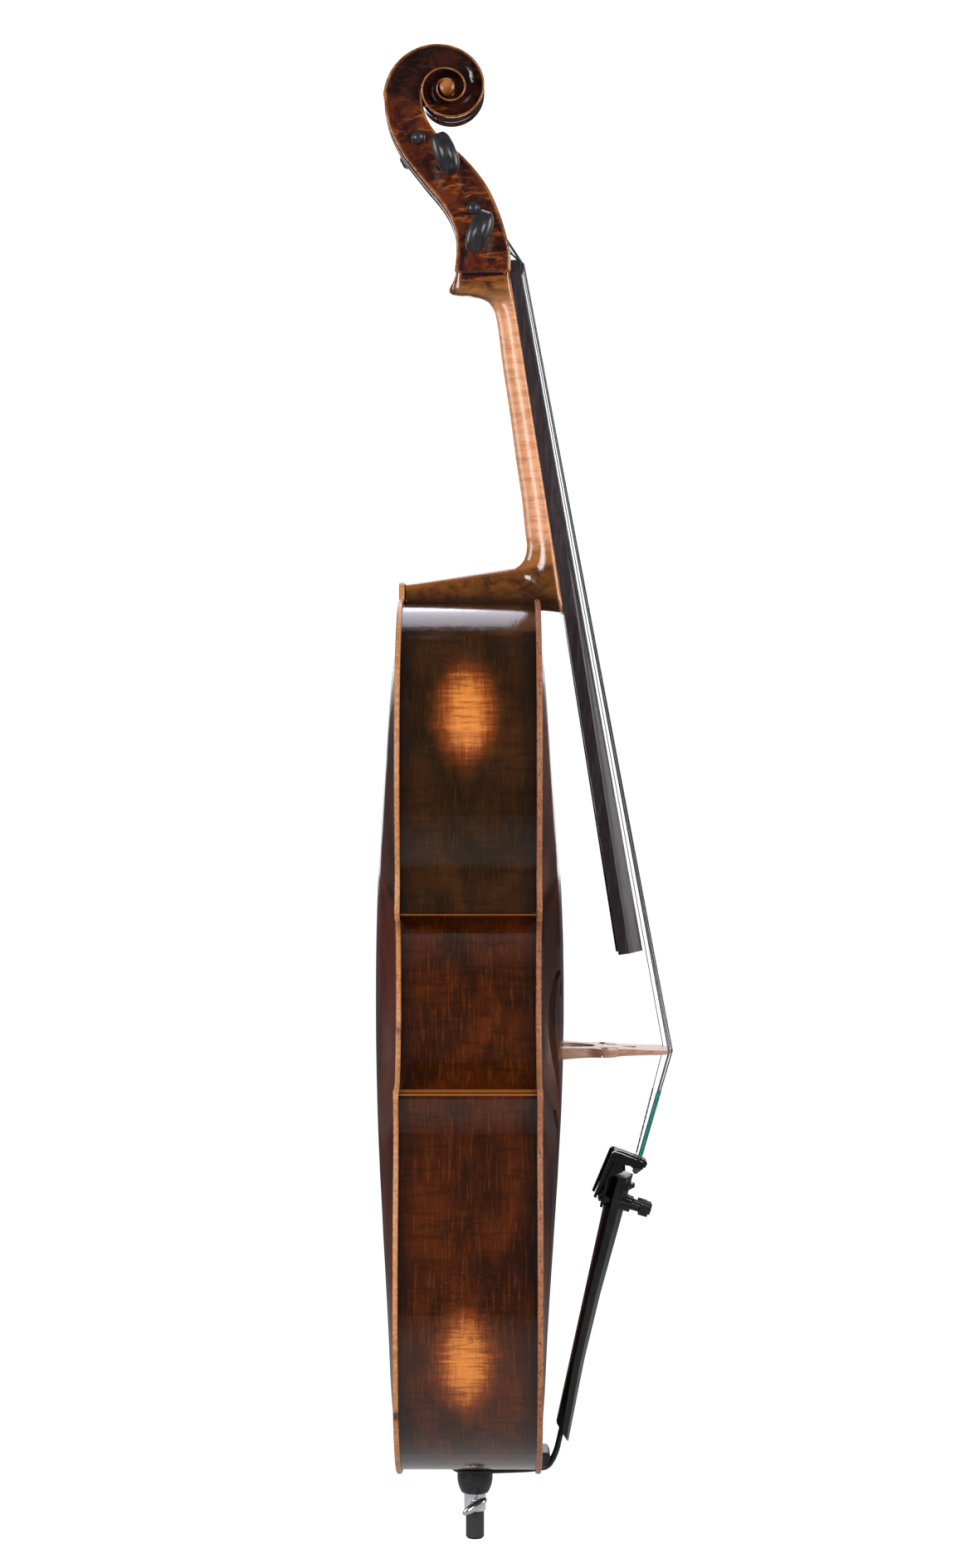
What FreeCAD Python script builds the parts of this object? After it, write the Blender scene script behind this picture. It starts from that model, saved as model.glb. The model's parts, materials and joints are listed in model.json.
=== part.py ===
"""Full-size (4/4) cello: carved body, set neck with scroll, strung, with pegs, fine tuners and endpin.

Frame: origin at the bottom centre of the endpin's rubber tip, +Z up along the body, the front (strings)
faces -Y and the bass side is -X.  All lengths are millimetres.  Points are given as side distance x,
distance toward the front f, and height z.
"""
import math
import os

import FreeCAD
import Part

os.makedirs("parts", exist_ok=True)

# ---------------------------------------------------------------- body
BODY_Z = 65.0               # height of the body's bottom edge
BODY_LENGTH = 749.0
BACK_EDGE_F = -65.5         # outer face of the back's flat margin
FRONT_EDGE_F = 56.0         # outer face of the top's flat margin
BACK_EDGE_T = 4.7
TOP_EDGE_T = 5.0
EDGE_ROUND = 2.0
RIB_T = 1.8
OVERHANG = 3.8
LINING_W = 2.5
LINING_H = 14.0
MARGIN = 6.5                # flat border outside the channel
HOLLOW_MARGIN = 12.5        # border that stays full thickness on the inside
HOLLOW_STEP = 0.3
BACK_RISE = 20.3
TOP_RISE = 21.0
BACK_FULLNESS = 1.1
TOP_FULLNESS = 1.35
ARCH_SKEW = 1.125
CHANNEL_W = 42.0
CHANNEL_DIP = 0.9
CENTRE_T = 5.0
PURFLING_OUT = 4.1
PURFLING_IN = 5.4
PURFLING_DEPTH = 1.5

# half outline from the bottom centre to the top centre: side distance, height, heading in degrees
LOWER_BOUT = ((0, 0, 0), (150, 34.6, 32), (218, 163, 90), (196, 275, 112), (200.2, 334.8, 62))
C_BOUT = ((193.6, 342.5, 195), (115, 405, 90), (154.6, 475.7, -15))
UPPER_BOUT = ((161, 483.4, 122), (153, 525, 66), (170, 600, 90), (110, 719.6, 146), (0, 749, 180))
CORNER_ANGLE = 40.0

# ---------------------------------------------------------------- neck, board and scroll
NUT_Z = 1095.5
NUT_TOP_Z = 1106.0
BOARD_END_Z = 508.0
BOARD_SLOPE = 0.1588        # front distance gained per millimetre down the neck
BOARD_BOTTOM_F = 29.9       # at the nut
BOARD_CROWN_F = 41.0        # at the nut
BOARD_CROWN_SLOPE = 0.1781
BOARD_HALF_NUT = 15.6
BOARD_HALF_SLOPE = 0.0282
BOARD_RADIUS = 62.0
FLAT_TOP_Z = 920.0          # the flat under the lowest string fades out here
FLAT_F = 138.75             # its front distance under that string, at the board's lower end
FLAT_X = -21.1
FLAT_TILT = 0.577           # front distance gained per millimetre toward the middle
FLAT_SLOPE = 0.17           # front distance lost per millimetre up the board
FLAT_SPAN = (-2.0, -42.0)
HEEL_Z = 803.0
EYE_F = -23.8
EYE_Z = 1252.6
EYE_R = 6.6
# side view of the pegbox, front distance and height: back line down to the chin, chin, and front line upward
PEGBOX_BACK = ((-70.0, 1243.0), (-76.5, 1228.0), (-72.0, 1213.5), (-64.5, 1200.0), (-45.5, 1174.5),
               (-26.5, 1151.0), (-17.5, 1131.0), (-16.0, 1111.0), (-17.5, 1096.0), (-22.5, 1081.5))
CHIN = ((-22.5, 1081.5), (-20.0, 1078.0), (-10.0, 1076.5), (-0.5, 1075.5), (10.5, 1072.0), (16.0, 1065.5),
        (18.4, 1059.0))
PEGBOX_FRONT = ((31.5, 1098.0), (30.0, 1114.0), (22.5, 1142.5), (10.5, 1169.5), (-8.0, 1193.0),
                (-33.5, 1216.0), (-43.0, 1236.0))
PEG_CAVITY = ((46, 1113), (-2, 1113), (-6.5, 1124), (-10.5, 1138), (-25, 1160), (-45, 1184), (-59, 1203),
              (-61, 1215), (-50, 1221), (-36, 1221), (-12, 1204), (12, 1179), (30, 1150))
VOLUTE_RADII = (55.0, 36.2, 31.0, 26.6, 22.0, 16.4, 15.8, 13.0, 9.6, EYE_R)     # rim at each quarter turn
WEB_INSET = 0.5             # the web between the volutes sits this far inside their rims

# ---------------------------------------------------------------- strings
BRIDGE_Z = 423.2
STRINGS = ("c", "g", "d", "a")
BRIDGE_X = {"c": -23.4, "g": -8.0, "d": 8.0, "a": 23.4}
BRIDGE_F = {"c": 166.2, "g": 170.0, "d": 169.4, "a": 164.2}
NUT_X = {"c": -11.2, "g": -3.8, "d": 3.8, "a": 11.2}
NUT_F = {"c": 41.0, "g": 41.9, "d": 41.8, "a": 40.8}
STRING_R = {"c": 0.85, "g": 0.62, "d": 0.5, "a": 0.38}
COIL_X = {"c": -6.5, "g": -3.0, "d": 2.5, "a": 6.0}
COIL_TURNS = 3
STRING_GAP = 0.6            # from the coil to the string that runs off it
JOINT_SWELL = 0.02          # a string's rounded bends stand this far proud of it
PEGS = {"c": (4.0, 1123.4, -1), "g": (-25.0, 1189.6, -1), "d": (-48.8, 1211.2, 1), "a": (-1.3, 1150.2, 1)}
PEG_TILT = {"c": 20.0, "g": -20.0, "d": 62.0, "a": 35.0}
PEG_R = 6.4                 # at the centre plane
PEG_TAPER = 0.02            # radius gained per millimetre toward the head
PEG_CLEAR = 0.05

# ---------------------------------------------------------------- tailpiece and tuners
TAIL_TOP_Z = 315.5
TAIL_LOW_Z = 83.0
# height and front distance of the tailpiece's ridge line
TAIL_RIDGE = ((83.0, 80.8), (154.0, 94.8), (211.0, 108.6), (269.0, 124.6), (315.5, 137.2))
TAIL_UNDER_F = 66.7
TAIL_UNDER_SLOPE = 0.2222
# height, half width and side thickness of the tailpiece
TAIL_SECTIONS = ((TAIL_LOW_Z, 8.0, 4.0), (98.0, 11.0, 5.0), (125.0, 13.5, 5.5), (154.0, 16.0, 5.5),
                 (211.0, 21.0, 6.0), (269.0, 26.2, 6.5), (297.0, 29.0, 7.0), (TAIL_TOP_Z, 28.0, 7.0))
RIDGE_DROP = 0.25           # fall of the top face per millimetre from the ridge
TUNER_X = {"c": -21.0, "g": -7.0, "d": 7.0, "a": 21.0}
TUNER_DROP = 3.0            # the outer tuners sit this much lower than the inner ones
PIVOT_Z = 323.0
PIVOT_F = 127.0
SCREW_Z = 287.6
SCREW_F = 145.3
SCREW_ANGLE = 16.7
SCREW_R = 1.7
BUSH_R = 2.9
KNOB_LENGTH = 8.0
TAILGUT_R = 2.2

# ---------------------------------------------------------------- endpin
ROD_R = 5.0
ROD_CLEAR = 0.05
ROD_TOP_Z = 520.0
TIP_R = 7.9
TIP_TOP_Z = 23.0
SLEEVE_Z = 24.0
COLLAR_Z = 40.0
COLLAR_TOP_Z = 64.2
COLLAR_R = 15.3             # of the barrel-shaped collar at its middle, foot and head
COLLAR_FOOT_R = 11.6
COLLAR_HEAD_R = 13.2
SLEEVE_R = 9.35
PLUG_TOP_Z = 100.0
THUMB_Z = 31.0


def at(x, f, z):
    """Point from side, front and height distances."""
    return FreeCAD.Vector(x, -f, z)


def save(name, shape):
    """Write one node, and report its solids."""
    shape.exportStep("parts/" + name + ".step")
    print(name, shape.isValid(), len(shape.Solids), round(shape.Volume / 1000.0, 2))


def group(shapes):
    """Separate solids that share one node."""
    return Part.makeCompound(shapes)


def biarc(start, end):
    """Two tangent arcs between points that each have a heading, in the body's plane."""
    p0 = at(start[0], 0, start[1])
    p1 = at(end[0], 0, end[1])
    t0 = at(math.cos(math.radians(start[2])), 0, math.sin(math.radians(start[2])))
    t1 = at(math.cos(math.radians(end[2])), 0, math.sin(math.radians(end[2])))
    chord = p1 - p0
    both = t0 + t1
    spread = 2.0 * (1.0 - t0.dot(t1))
    reach = chord.dot(both)
    d = (math.sqrt(reach * reach + spread * chord.dot(chord)) - reach) / spread
    q0 = p0 + t0 * d
    q1 = p1 - t1 * d
    middle = (q0 + q1) * 0.5
    return [tangent_arc(p0, q0, middle), tangent_arc(middle, q1, p1)]


def tangent_arc(start, apex, end):
    """Arc from start to end whose end tangents meet at apex."""
    centre = (start + end) * 0.5
    half = (end - start).Length / 2.0
    rise = (apex - centre).Length
    radius = half * (apex - start).Length / rise
    sagitta = radius - math.sqrt(radius * radius - half * half)
    return Part.Arc(start, centre + (apex - centre) * (sagitta / rise), end).toShape()


def body_outline():
    """Closed outline of the plates."""
    edges = []
    for bout in (LOWER_BOUT, C_BOUT, UPPER_BOUT):
        if edges:
            edges.append(Part.makeLine(edges[-1].Vertexes[-1].Point, at(bout[0][0], 0, bout[0][1])))
        for start, end in zip(bout, bout[1:]):
            edges += biarc(start, end)
    mirrored = [edge.mirror(at(0, 0, 0), FreeCAD.Vector(1, 0, 0)) for edge in edges]
    wire = Part.Wire(Part.__sortEdges__(edges + mirrored))
    wire.translate(at(0, 0, BODY_Z))
    return wire


OUTLINE = body_outline()
OUTLINE_FACE = Part.Face(OUTLINE)
OUTLINE_POINTS = [(p.x, p.z) for p in OUTLINE.discretize(Number=360)]


def slab(inset, f_low, f_high):
    """Prism of the outline moved inwards by the inset."""
    face = OUTLINE_FACE.makeOffset2D(-inset) if inset else OUTLINE_FACE.copy()
    face.translate(at(0, f_low, 0))
    return face.extrude(at(0, f_high - f_low, 0))


def plan(points, f_low, f_high):
    """Prism of a polygon of side distances and heights."""
    face = Part.Face(Part.makePolygon([at(x, f_low, z) for x, z in points + points[:1]]))
    return face.extrude(at(0, f_high - f_low, 0))


def profile(points, half_width):
    """Prism of a polygon of front distances and heights, centred on the middle plane."""
    face = Part.Face(Part.makePolygon([at(-half_width, f, z) for f, z in points + points[:1]]))
    return face.extrude(at(2.0 * half_width, 0, 0))


def box(x, f, z):
    """Box from three ranges."""
    corner = at(x[0], f[1], z[0])
    return Part.makeBox(x[1] - x[0], f[1] - f[0], z[1] - z[0], corner)


def rod(start, end, radius):
    """Round bar between two points."""
    return Part.makeCylinder(radius, (end - start).Length, start, end - start)


def edge_distance(x, z):
    """Distance inside the outline; negative outside it."""
    nearest = 1e9
    inside = False
    last = OUTLINE_POINTS[-1]
    for p in OUTLINE_POINTS:
        dx = p[0] - last[0]
        dz = p[1] - last[1]
        span = dx * dx + dz * dz
        t = 0.0
        if span > 0.0:
            t = min(1.0, max(0.0, ((x - last[0]) * dx + (z - last[1]) * dz) / span))
        nearest = min(nearest, math.hypot(x - last[0] - t * dx, z - last[1] - t * dz))
        if (p[1] > z) != (last[1] > z) and x < last[0] + (z - last[1]) * dx / dz:
            inside = not inside
        last = p
    return nearest if inside else -nearest


def smooth(t):
    """Ease from 0 to 1."""
    t = min(1.0, max(0.0, t))
    return t * t * (3.0 - 2.0 * t)


def arch(x, z, distance, rise, fullness, start):
    """Height of the arching: a long arch times a cross arch, eased to nothing at the channel."""
    t = min(1.0, max(0.0, (z - BODY_Z) / BODY_LENGTH))
    long_arch = max(0.0, math.sin(math.pi * t ** ARCH_SKEW)) ** fullness
    waist = math.exp(-((z - BODY_Z - 405.0) / 75.0) ** 2)
    reach = 232.0 - 45.0 * t - 78.0 * waist
    cross = math.cos(0.5 * math.pi * min(1.0, abs(x) / reach)) ** 0.8
    return rise * long_arch * cross * smooth((distance - start) / CHANNEL_W)


GRID_X = [-222.0 + 12.0 * i for i in range(38)]
GRID_Z = [BODY_Z - 6.0 + 14.95 * j for j in range(52)]
GRID_D = [[edge_distance(x, z) for z in GRID_Z] for x in GRID_X]


def arch_solid(base_f, direction, rise, fullness, start, dip, depth):
    """Everything behind an arched surface; direction +1 rises to the front, -1 to the back."""
    rows = []
    for x, distances in zip(GRID_X, GRID_D):
        row = []
        for z, distance in zip(GRID_Z, distances):
            height = arch(x, z, distance, rise, fullness, start)
            hollow = dip * smooth((distance - MARGIN + 4.0) / 8.0) * (1.0 - smooth((distance - 14.0) / 24.0))
            row.append(at(x, base_f + direction * (height - hollow), z))
        rows.append(row)
    surface = Part.BSplineSurface()
    surface.interpolate(rows)
    return surface.toShape().extrude(at(0, -direction * depth, 0))


def plate_blank(f_inner, f_outer, outer_solid, inner_solid):
    """Edge ring with rounded edges, arched outside and hollowed inside."""
    low, high = sorted((f_inner, f_outer))
    ring = slab(0, low, high)
    ring = ring.makeFillet(EDGE_ROUND, [e for e in ring.Edges if abs(e.BoundBox.YLength) < 0.01])
    far = f_outer + (f_outer - f_inner) * 8.0
    span = sorted((f_inner, far))
    core = slab(MARGIN, span[0], span[1])
    ring = ring.cut(core)
    centre = core.common(outer_solid)
    blank = ring.fuse(centre)
    reach = sorted((f_inner - (f_outer - f_inner), far))
    hollow = slab(HOLLOW_MARGIN, reach[0], reach[1]).common(inner_solid)
    return blank.cut(hollow)


def purfling(f_low, f_high):
    """Inlaid strip that follows the outline."""
    return slab(PURFLING_OUT, f_low, f_high).cut(slab(PURFLING_IN, f_low - 1.0, f_high + 1.0))


def fhole(side):
    """Sound hole: an S-shaped slot between two round eyes."""
    line = ((57, 415, 2.0), (57.5, 425, 2.4), (66, 428.5, 3.0), (74, 414, 4.0), (79, 388, 5.0),
            (84, 356, 5.2), (89, 325, 4.6), (96, 305, 3.4), (105, 298, 2.6), (113, 306, 2.2))
    left = []
    right = []
    for i, (x, z, half) in enumerate(line):
        before = line[max(0, i - 1)]
        after = line[min(len(line) - 1, i + 1)]
        length = math.hypot(after[0] - before[0], after[1] - before[1])
        nx = -(after[1] - before[1]) / length * half
        nz = (after[0] - before[0]) / length * half
        left.append(at(side * (x + nx), 30, BODY_Z + z + nz))
        right.append(at(side * (x - nx), 30, BODY_Z + z - nz))
    edges = []
    for points in (left, right):
        curve = Part.BSplineCurve()
        curve.interpolate(points)
        edges.append(curve.toShape())
    edges.append(Part.makeLine(left[0], right[0]))
    edges.append(Part.makeLine(left[-1], right[-1]))
    face = Part.Face(Part.Wire(Part.__sortEdges__(edges)))
    slot = face.extrude(at(0, 70, 0))
    upper = rod(at(side * 54.5, 30, BODY_Z + 414.5), at(side * 54.5, 100, BODY_Z + 414.5), 6.3)
    lower = rod(at(side * 114.0, 30, BODY_Z + 309.5), at(side * 114.0, 100, BODY_Z + 309.5), 8.3)
    return slot.fuse([upper, lower])


def rib_regions():
    """Regions of the lower, middle and upper rib on the treble side, split along the corner mitres."""
    slope = math.tan(math.radians(CORNER_ANGLE))
    low_x = (LOWER_BOUT[-1][0] + C_BOUT[0][0]) / 2.0
    low_z = (LOWER_BOUT[-1][1] + C_BOUT[0][1]) / 2.0 + BODY_Z
    top_x = (C_BOUT[-1][0] + UPPER_BOUT[0][0]) / 2.0
    top_z = (C_BOUT[-1][1] + UPPER_BOUT[0][1]) / 2.0 + BODY_Z
    far = 260.0
    low_in = low_z - low_x * slope
    low_out = low_z + (far - low_x) * slope
    top_in = top_z + top_x * slope
    top_out = top_z - (far - top_x) * slope
    lower = [(0, 0), (far, 0), (far, low_out), (0, low_in)]
    middle = [(0, low_in), (far, low_out), (far, top_out), (0, top_in)]
    upper = [(0, top_in), (far, top_out), (far, 900), (0, 900)]
    return {"lower": lower, "c": middle, "upper": upper}


def superellipse(base, tip, half_width, power):
    """Closed section: a rounded curve over a straight base line that spans the width."""
    points = []
    for i in range(13):
        angle = math.pi * i / 12.0
        across = abs(math.cos(angle)) ** (2.0 / power) * (1 if i <= 6 else -1)
        along = math.sin(angle) ** (2.0 / power)
        f = base[0] + (tip[0] - base[0]) * along
        z = base[1] + (tip[1] - base[1]) * along
        points.append(at(half_width * across, f, z))
    curve = Part.BSplineCurve()
    curve.interpolate(points)
    return Part.Wire([curve.toShape(), Part.makeLine(points[-1], points[0])])


def board_f(z):
    """Front distance of the board's glue plane at a height."""
    return BOARD_BOTTOM_F + BOARD_SLOPE * (NUT_Z - z)


def board_half(z):
    """Half width of the board at a height."""
    return BOARD_HALF_NUT + BOARD_HALF_SLOPE * (NUT_Z - z)


def neck_shaft():
    """Hand-hold and heel, lofted through fanned sections from the chin to the button."""
    stations = [(18.0, 1068, 1068), (20.2, 1046, 1046), (23.8, 1017, 1017), (30.2, 974, 974), (36, 931, 931),
                (40.3, 902, 900), (43.2, 873, 866), (44.6, 859, 848), (42.0, 848, 832), (35.0, 842, 816)]
    wires = []
    for f, z, edge_z in stations:
        wires.append(superellipse((board_f(edge_z) + 1.0, edge_z), (f, z), board_half(edge_z) - 0.2, 2.2))
    shaft = Part.makeLoft(wires, True)
    heel = [(18.0, 839.4, 58.0, 21.5), (-8.0, 835.3, 24.0, 19.0), (-42.0, 830.0, -34.0, 16.0),
            (BACK_EDGE_F + BACK_EDGE_T, 827.4, BACK_EDGE_F + BACK_EDGE_T, 14.8)]
    for f, z, edge_f, half in heel:
        wires.append(superellipse((edge_f, HEEL_Z), (f, z), half, 2.6))
    shaft = shaft.fuse(Part.makeLoft(wires[-5:], True, True))
    root = profile([(-60.0, HEEL_Z), (76.0, HEEL_Z), (board_f(818), 818.0), (-60.0, 818.0)], 30.0)
    taper = Part.Face(Part.makePolygon([at(-22.3, 80, 790), at(22.3, 80, 790), at(14.8, -60.8, 790),
                                        at(-14.8, -60.8, 790), at(-22.3, 80, 790)]))
    root = root.common(taper.extrude(at(0, 0, 60)))
    return shaft.fuse(root)


def spline_edge(points, x):
    """Smooth edge through front distances and heights."""
    curve = Part.BSplineCurve()
    curve.interpolate([at(x, f, z) for f, z in points])
    return curve.toShape()


def front_wedge(stations):
    """Prism, seen from the front, of half widths that change with height."""
    left = [at(-half, 120, z) for z, half in stations]
    right = [at(half, 120, z) for z, half in reversed(stations)]
    return Part.Face(Part.makePolygon(left + right + left[:1])).extrude(at(0, -260, 0))


def pegbox():
    """Cheeks, floor and chin, open toward the front."""
    chin_f, chin_z = CHIN[-1]
    nut_f, nut_z = PEGBOX_FRONT[0]
    edges = [spline_edge(points, -26) for points in (PEGBOX_BACK, CHIN, PEGBOX_FRONT)]
    seat = at(-26, board_f(chin_z) + 1.0, chin_z)
    edges.append(Part.makeLine(at(-26, chin_f, chin_z), seat))
    edges.append(Part.makeLine(seat, at(-26, nut_f, nut_z)))
    edges.append(Part.makeLine(at(-26, *PEGBOX_FRONT[-1]), at(-26, *PEGBOX_BACK[0])))
    side = Part.Face(Part.Wire(Part.__sortEdges__(edges))).extrude(at(52, 0, 0))
    wedge = front_wedge([(1050, 16.2), (1076, 16.8), (1092, 19.0), (1100, 21.0), (1245, 14.5)])
    solid = side.common(wedge)
    cavity = profile(PEG_CAVITY, 26)
    hollow = front_wedge([(1100, 12.6), (1225, 8.2)])
    return solid.cut(cavity.common(hollow))


def spiral_radius(turn):
    """Radius of the volute's rim, by turns from the back of the head."""
    quarter = min(int(turn * 4), len(VOLUTE_RADII) - 2)
    share = turn * 4 - quarter
    return VOLUTE_RADII[quarter] * (1.0 - share) + VOLUTE_RADII[quarter + 1] * share


def spiral_point(turn, radius, x):
    """Point on the volute; turn 0 is at the back and the spiral climbs over the top."""
    angle = math.pi - 2.0 * math.pi * turn
    return at(x, EYE_F + radius * math.cos(angle), EYE_Z + radius * math.sin(angle))


def volute_rim(side, start, end, width0, width1):
    """One stretch of the raised spiral rim on one side of the scroll."""
    wires = []
    steps = int(round((end - start) * 16))
    for i in range(steps + 1):
        turn = start + (end - start) * i / steps
        outer = spiral_radius(turn)
        inner = outer - 5.0
        width = width0 + (width1 - width0) * i / steps
        corners = [spiral_point(turn, outer, side * 8.0), spiral_point(turn, outer, side * width),
                   spiral_point(turn, inner, side * (width - 1.0)), spiral_point(turn, inner, side * 8.0)]
        wires.append(Part.makePolygon(corners + corners[:1]))
    return Part.makeLoft(wires, True)


def scroll():
    """Head: spiral web with a rising rim and a protruding eye on each side."""
    points = [spiral_point(i / 16.0, spiral_radius(i / 16.0) - WEB_INSET, 0) for i in range(15)]
    curve = Part.BSplineCurve()
    curve.interpolate(points)
    corner = at(0, -58.0, 1226.0)
    edges = [curve.toShape(), Part.makeLine(points[-1], corner), Part.makeLine(corner, points[0])]
    web = Part.Face(Part.Wire(edges)).extrude(at(28, 0, 0))
    web.translate(at(-14, 0, 0))
    parts = []
    for side in (-1, 1):
        parts.append(volute_rim(side, 0.0, 0.875, 15.5, 22.5))
        parts.append(volute_rim(side, 0.875, 2.0, 22.5, 28.5))
        parts.append(rod(at(side * 8, EYE_F, EYE_Z), at(side * 32, EYE_F, EYE_Z), EYE_R))
    return web.fuse(parts)


def peg_frame(name):
    """Peg's centre on the middle plane and its direction toward the head."""
    f, z, side = PEGS[name]
    return at(0, f, z), at(side, 0, 0)


def peg_cone(name, start, end, extra):
    """Tapered peg shaft between two distances along the peg."""
    centre, out = peg_frame(name)
    r0 = PEG_R + PEG_TAPER * start + extra
    r1 = PEG_R + PEG_TAPER * end + extra
    return Part.makeCone(r0, r1, end - start, centre + out * start, out)


def neck():
    """Neck, heel, pegbox and scroll, carved from one block."""
    solid = neck_shaft().fuse([pegbox(), scroll()])
    above = profile([(board_f(790.0), 790.0), (board_f(NUT_Z), NUT_Z), (board_f(NUT_Z), NUT_TOP_Z + 1.0),
                     (120.0, NUT_TOP_Z + 1.0), (160.0, 790.0)], 40)
    solid = solid.cut(above)
    holes = [peg_cone(name, -40.0, 40.0, PEG_CLEAR) for name in STRINGS]
    return solid.cut(holes).removeSplitter()


def peg(name):
    """Tapered shaft with a domed end, a collar and a flat thumb piece."""
    centre, out = peg_frame(name)
    end_r = PEG_R - PEG_TAPER * 22.0
    shaft = peg_cone(name, -22.0, 27.0, 0.0)
    dome = Part.makeSphere(end_r, centre - out * 22.0)
    dome = dome.transformGeometry(squash(centre - out * 22.0, 0.4))
    collar = Part.makeCylinder(8.6, 3.0, centre + out * 27.0, out)
    collar = collar.makeFillet(1.2, [e for e in collar.Edges if isinstance(e.Curve, Part.Circle)])
    stem = Part.makeCone(6.6, 5.2, 14.0, centre + out * 30.0, out)
    head = ellipsoid((16.5, 8.4, 19.0), 90.0 - 90.0 * out.x)
    head.rotate(at(0, 0, 0), FreeCAD.Vector(1, 0, 0), PEG_TILT[name])
    head.translate(centre + out * 56.0)
    return shaft.fuse([dome, collar, stem, head]).removeSplitter()


def ellipsoid(radii, turn):
    """Ellipsoid about the origin; the turn moves its seam away from where a stem joins."""
    ball = Part.makeSphere(1.0)
    ball.rotate(at(0, 0, 0), FreeCAD.Vector(0, 0, 1), turn)
    matrix = FreeCAD.Matrix()
    matrix.scale(FreeCAD.Vector(radii[0], radii[1], radii[2]))
    return ball.transformGeometry(matrix)


def squash(point, factor):
    """Scaling along X about a point."""
    matrix = FreeCAD.Matrix()
    matrix.move(point * -1.0)
    matrix.scale(FreeCAD.Vector(factor, 1.0, 1.0))
    matrix.move(point)
    return matrix


def coil(name):
    """Turns of string wound on the peg."""
    centre, out = peg_frame(name)
    side = out.x
    r = STRING_R[name]
    wind = PEG_R + r + 0.15
    turns = []
    for i in range(COIL_TURNS):
        x = COIL_X[name] + side * (i - COIL_TURNS + 1) * (2.0 * r + 0.05)
        turns.append(Part.makeTorus(wind, r, at(x, -centre.y, centre.z), FreeCAD.Vector(1, 0, 0)))
    return group(turns)


def tangent_point(name, start):
    """Where a string from start meets the front of its coil."""
    f, z, side = PEGS[name]
    radius = PEG_R + 3.0 * STRING_R[name] + STRING_GAP
    df = f - start[0]
    dz = z - start[1]
    length = math.hypot(df, dz)
    turn = math.acos(radius / length)
    base = math.atan2(-dz, -df)
    angle = base + turn
    return (f + radius * math.cos(angle), z + radius * math.sin(angle))


def polyline(points, radius):
    """Round string through points, with rounded joints."""
    parts = [rod(a, b, radius) for a, b in zip(points, points[1:])]
    parts += [Part.makeSphere(radius + JOINT_SWELL, p) for p in points[1:-1]]
    return parts[0].fuse(parts[1:])


def string_points(name):
    """Path of a string from its tuner over the bridge and nut to its peg."""
    lift = STRING_R[name]
    drop = TUNER_DROP if abs(TUNER_X[name]) > 10 else 0.0
    bridge = at(BRIDGE_X[name], BRIDGE_F[name] + lift, BRIDGE_Z)
    tail = at(TUNER_X[name], 143.6 - drop, 330.2)
    nut = at(NUT_X[name], NUT_F[name] + lift, NUT_TOP_Z - 3.0)
    points = [tail, bridge, nut]
    start = (NUT_F[name] + lift, NUT_TOP_Z - 3.0)
    if name == "d":
        f, z, side = PEGS["g"]
        clear = PEG_R + STRING_R[name] + 0.6
        start = (f + clear * 0.72, z + clear * 0.69)
        points.append(at((NUT_X[name] + COIL_X[name]) / 2.0, start[0], start[1]))
    f, z = tangent_point(name, start)
    points.append(at(COIL_X[name], f, z))
    return points


def silk(name):
    """Coloured winding on the string's tail end."""
    tail, bridge = string_points(name)[:2]
    toward = bridge - tail
    inner = rod(tail + toward * 0.02, tail + toward * 0.62, STRING_R[name] + 0.02)
    return rod(tail + toward * 0.02, tail + toward * 0.62, STRING_R[name] + 0.32).cut(inner)


def fingerboard():
    """Long tapered board with a crowned top and a hollowed underside beyond the neck."""
    wires = []
    for z in (NUT_Z, BOARD_END_Z - 10.0):
        half = board_half(z)
        crown = BOARD_CROWN_F + BOARD_CROWN_SLOPE * (NUT_Z - z)
        edge = crown - BOARD_RADIUS + math.sqrt(BOARD_RADIUS ** 2 - half ** 2)
        low = board_f(z)
        arc = Part.Arc(at(-half, edge, z), at(0, crown, z), at(half, edge, z)).toShape()
        lines = [Part.makeLine(at(half, edge, z), at(half, low, z)),
                 Part.makeLine(at(half, low, z), at(-half, low, z)),
                 Part.makeLine(at(-half, low, z), at(-half, edge, z))]
        wires.append(Part.Wire([arc] + lines))
    board = Part.makeLoft(wires, True, True)
    hollow = []
    for z, depth in ((785.0, 0.8), (BOARD_END_Z - 12.0, 9.5)):
        half = board_half(z) - 7.0
        low = board_f(z) - 0.5
        arc = Part.Arc(at(-half, low, z), at(0, low + depth + 0.5, z), at(half, low, z)).toShape()
        hollow.append(Part.Wire([arc, Part.makeLine(at(half, low, z), at(-half, low, z))]))
    board = board.cut(Part.makeLoft(hollow, True, True))
    end = profile([(90.0, BOARD_END_Z - 5.4), (150.0, BOARD_END_Z + 2.6), (150.0, 480.0), (90.0, 480.0)], 50)
    return board.cut([end, board_flat()])


def board_flat():
    """Wedge cut from the crown under the lowest string, fading out up the board."""
    inner_x, outer_x = FLAT_SPAN
    ends = []
    for z in (BOARD_END_Z - 20.0, FLAT_TOP_Z):
        base = FLAT_F - FLAT_SLOPE * (z - BOARD_END_Z)
        inner = base + FLAT_TILT * (inner_x - FLAT_X)
        outer = base + FLAT_TILT * (outer_x - FLAT_X)
        corners = [at(inner_x, inner, z), at(outer_x, outer, z), at(outer_x, inner + 20, z),
                   at(inner_x, inner + 20, z)]
        ends.append(Part.makePolygon(corners + corners[:1]))
    return Part.makeLoft(ends, True, True)


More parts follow.
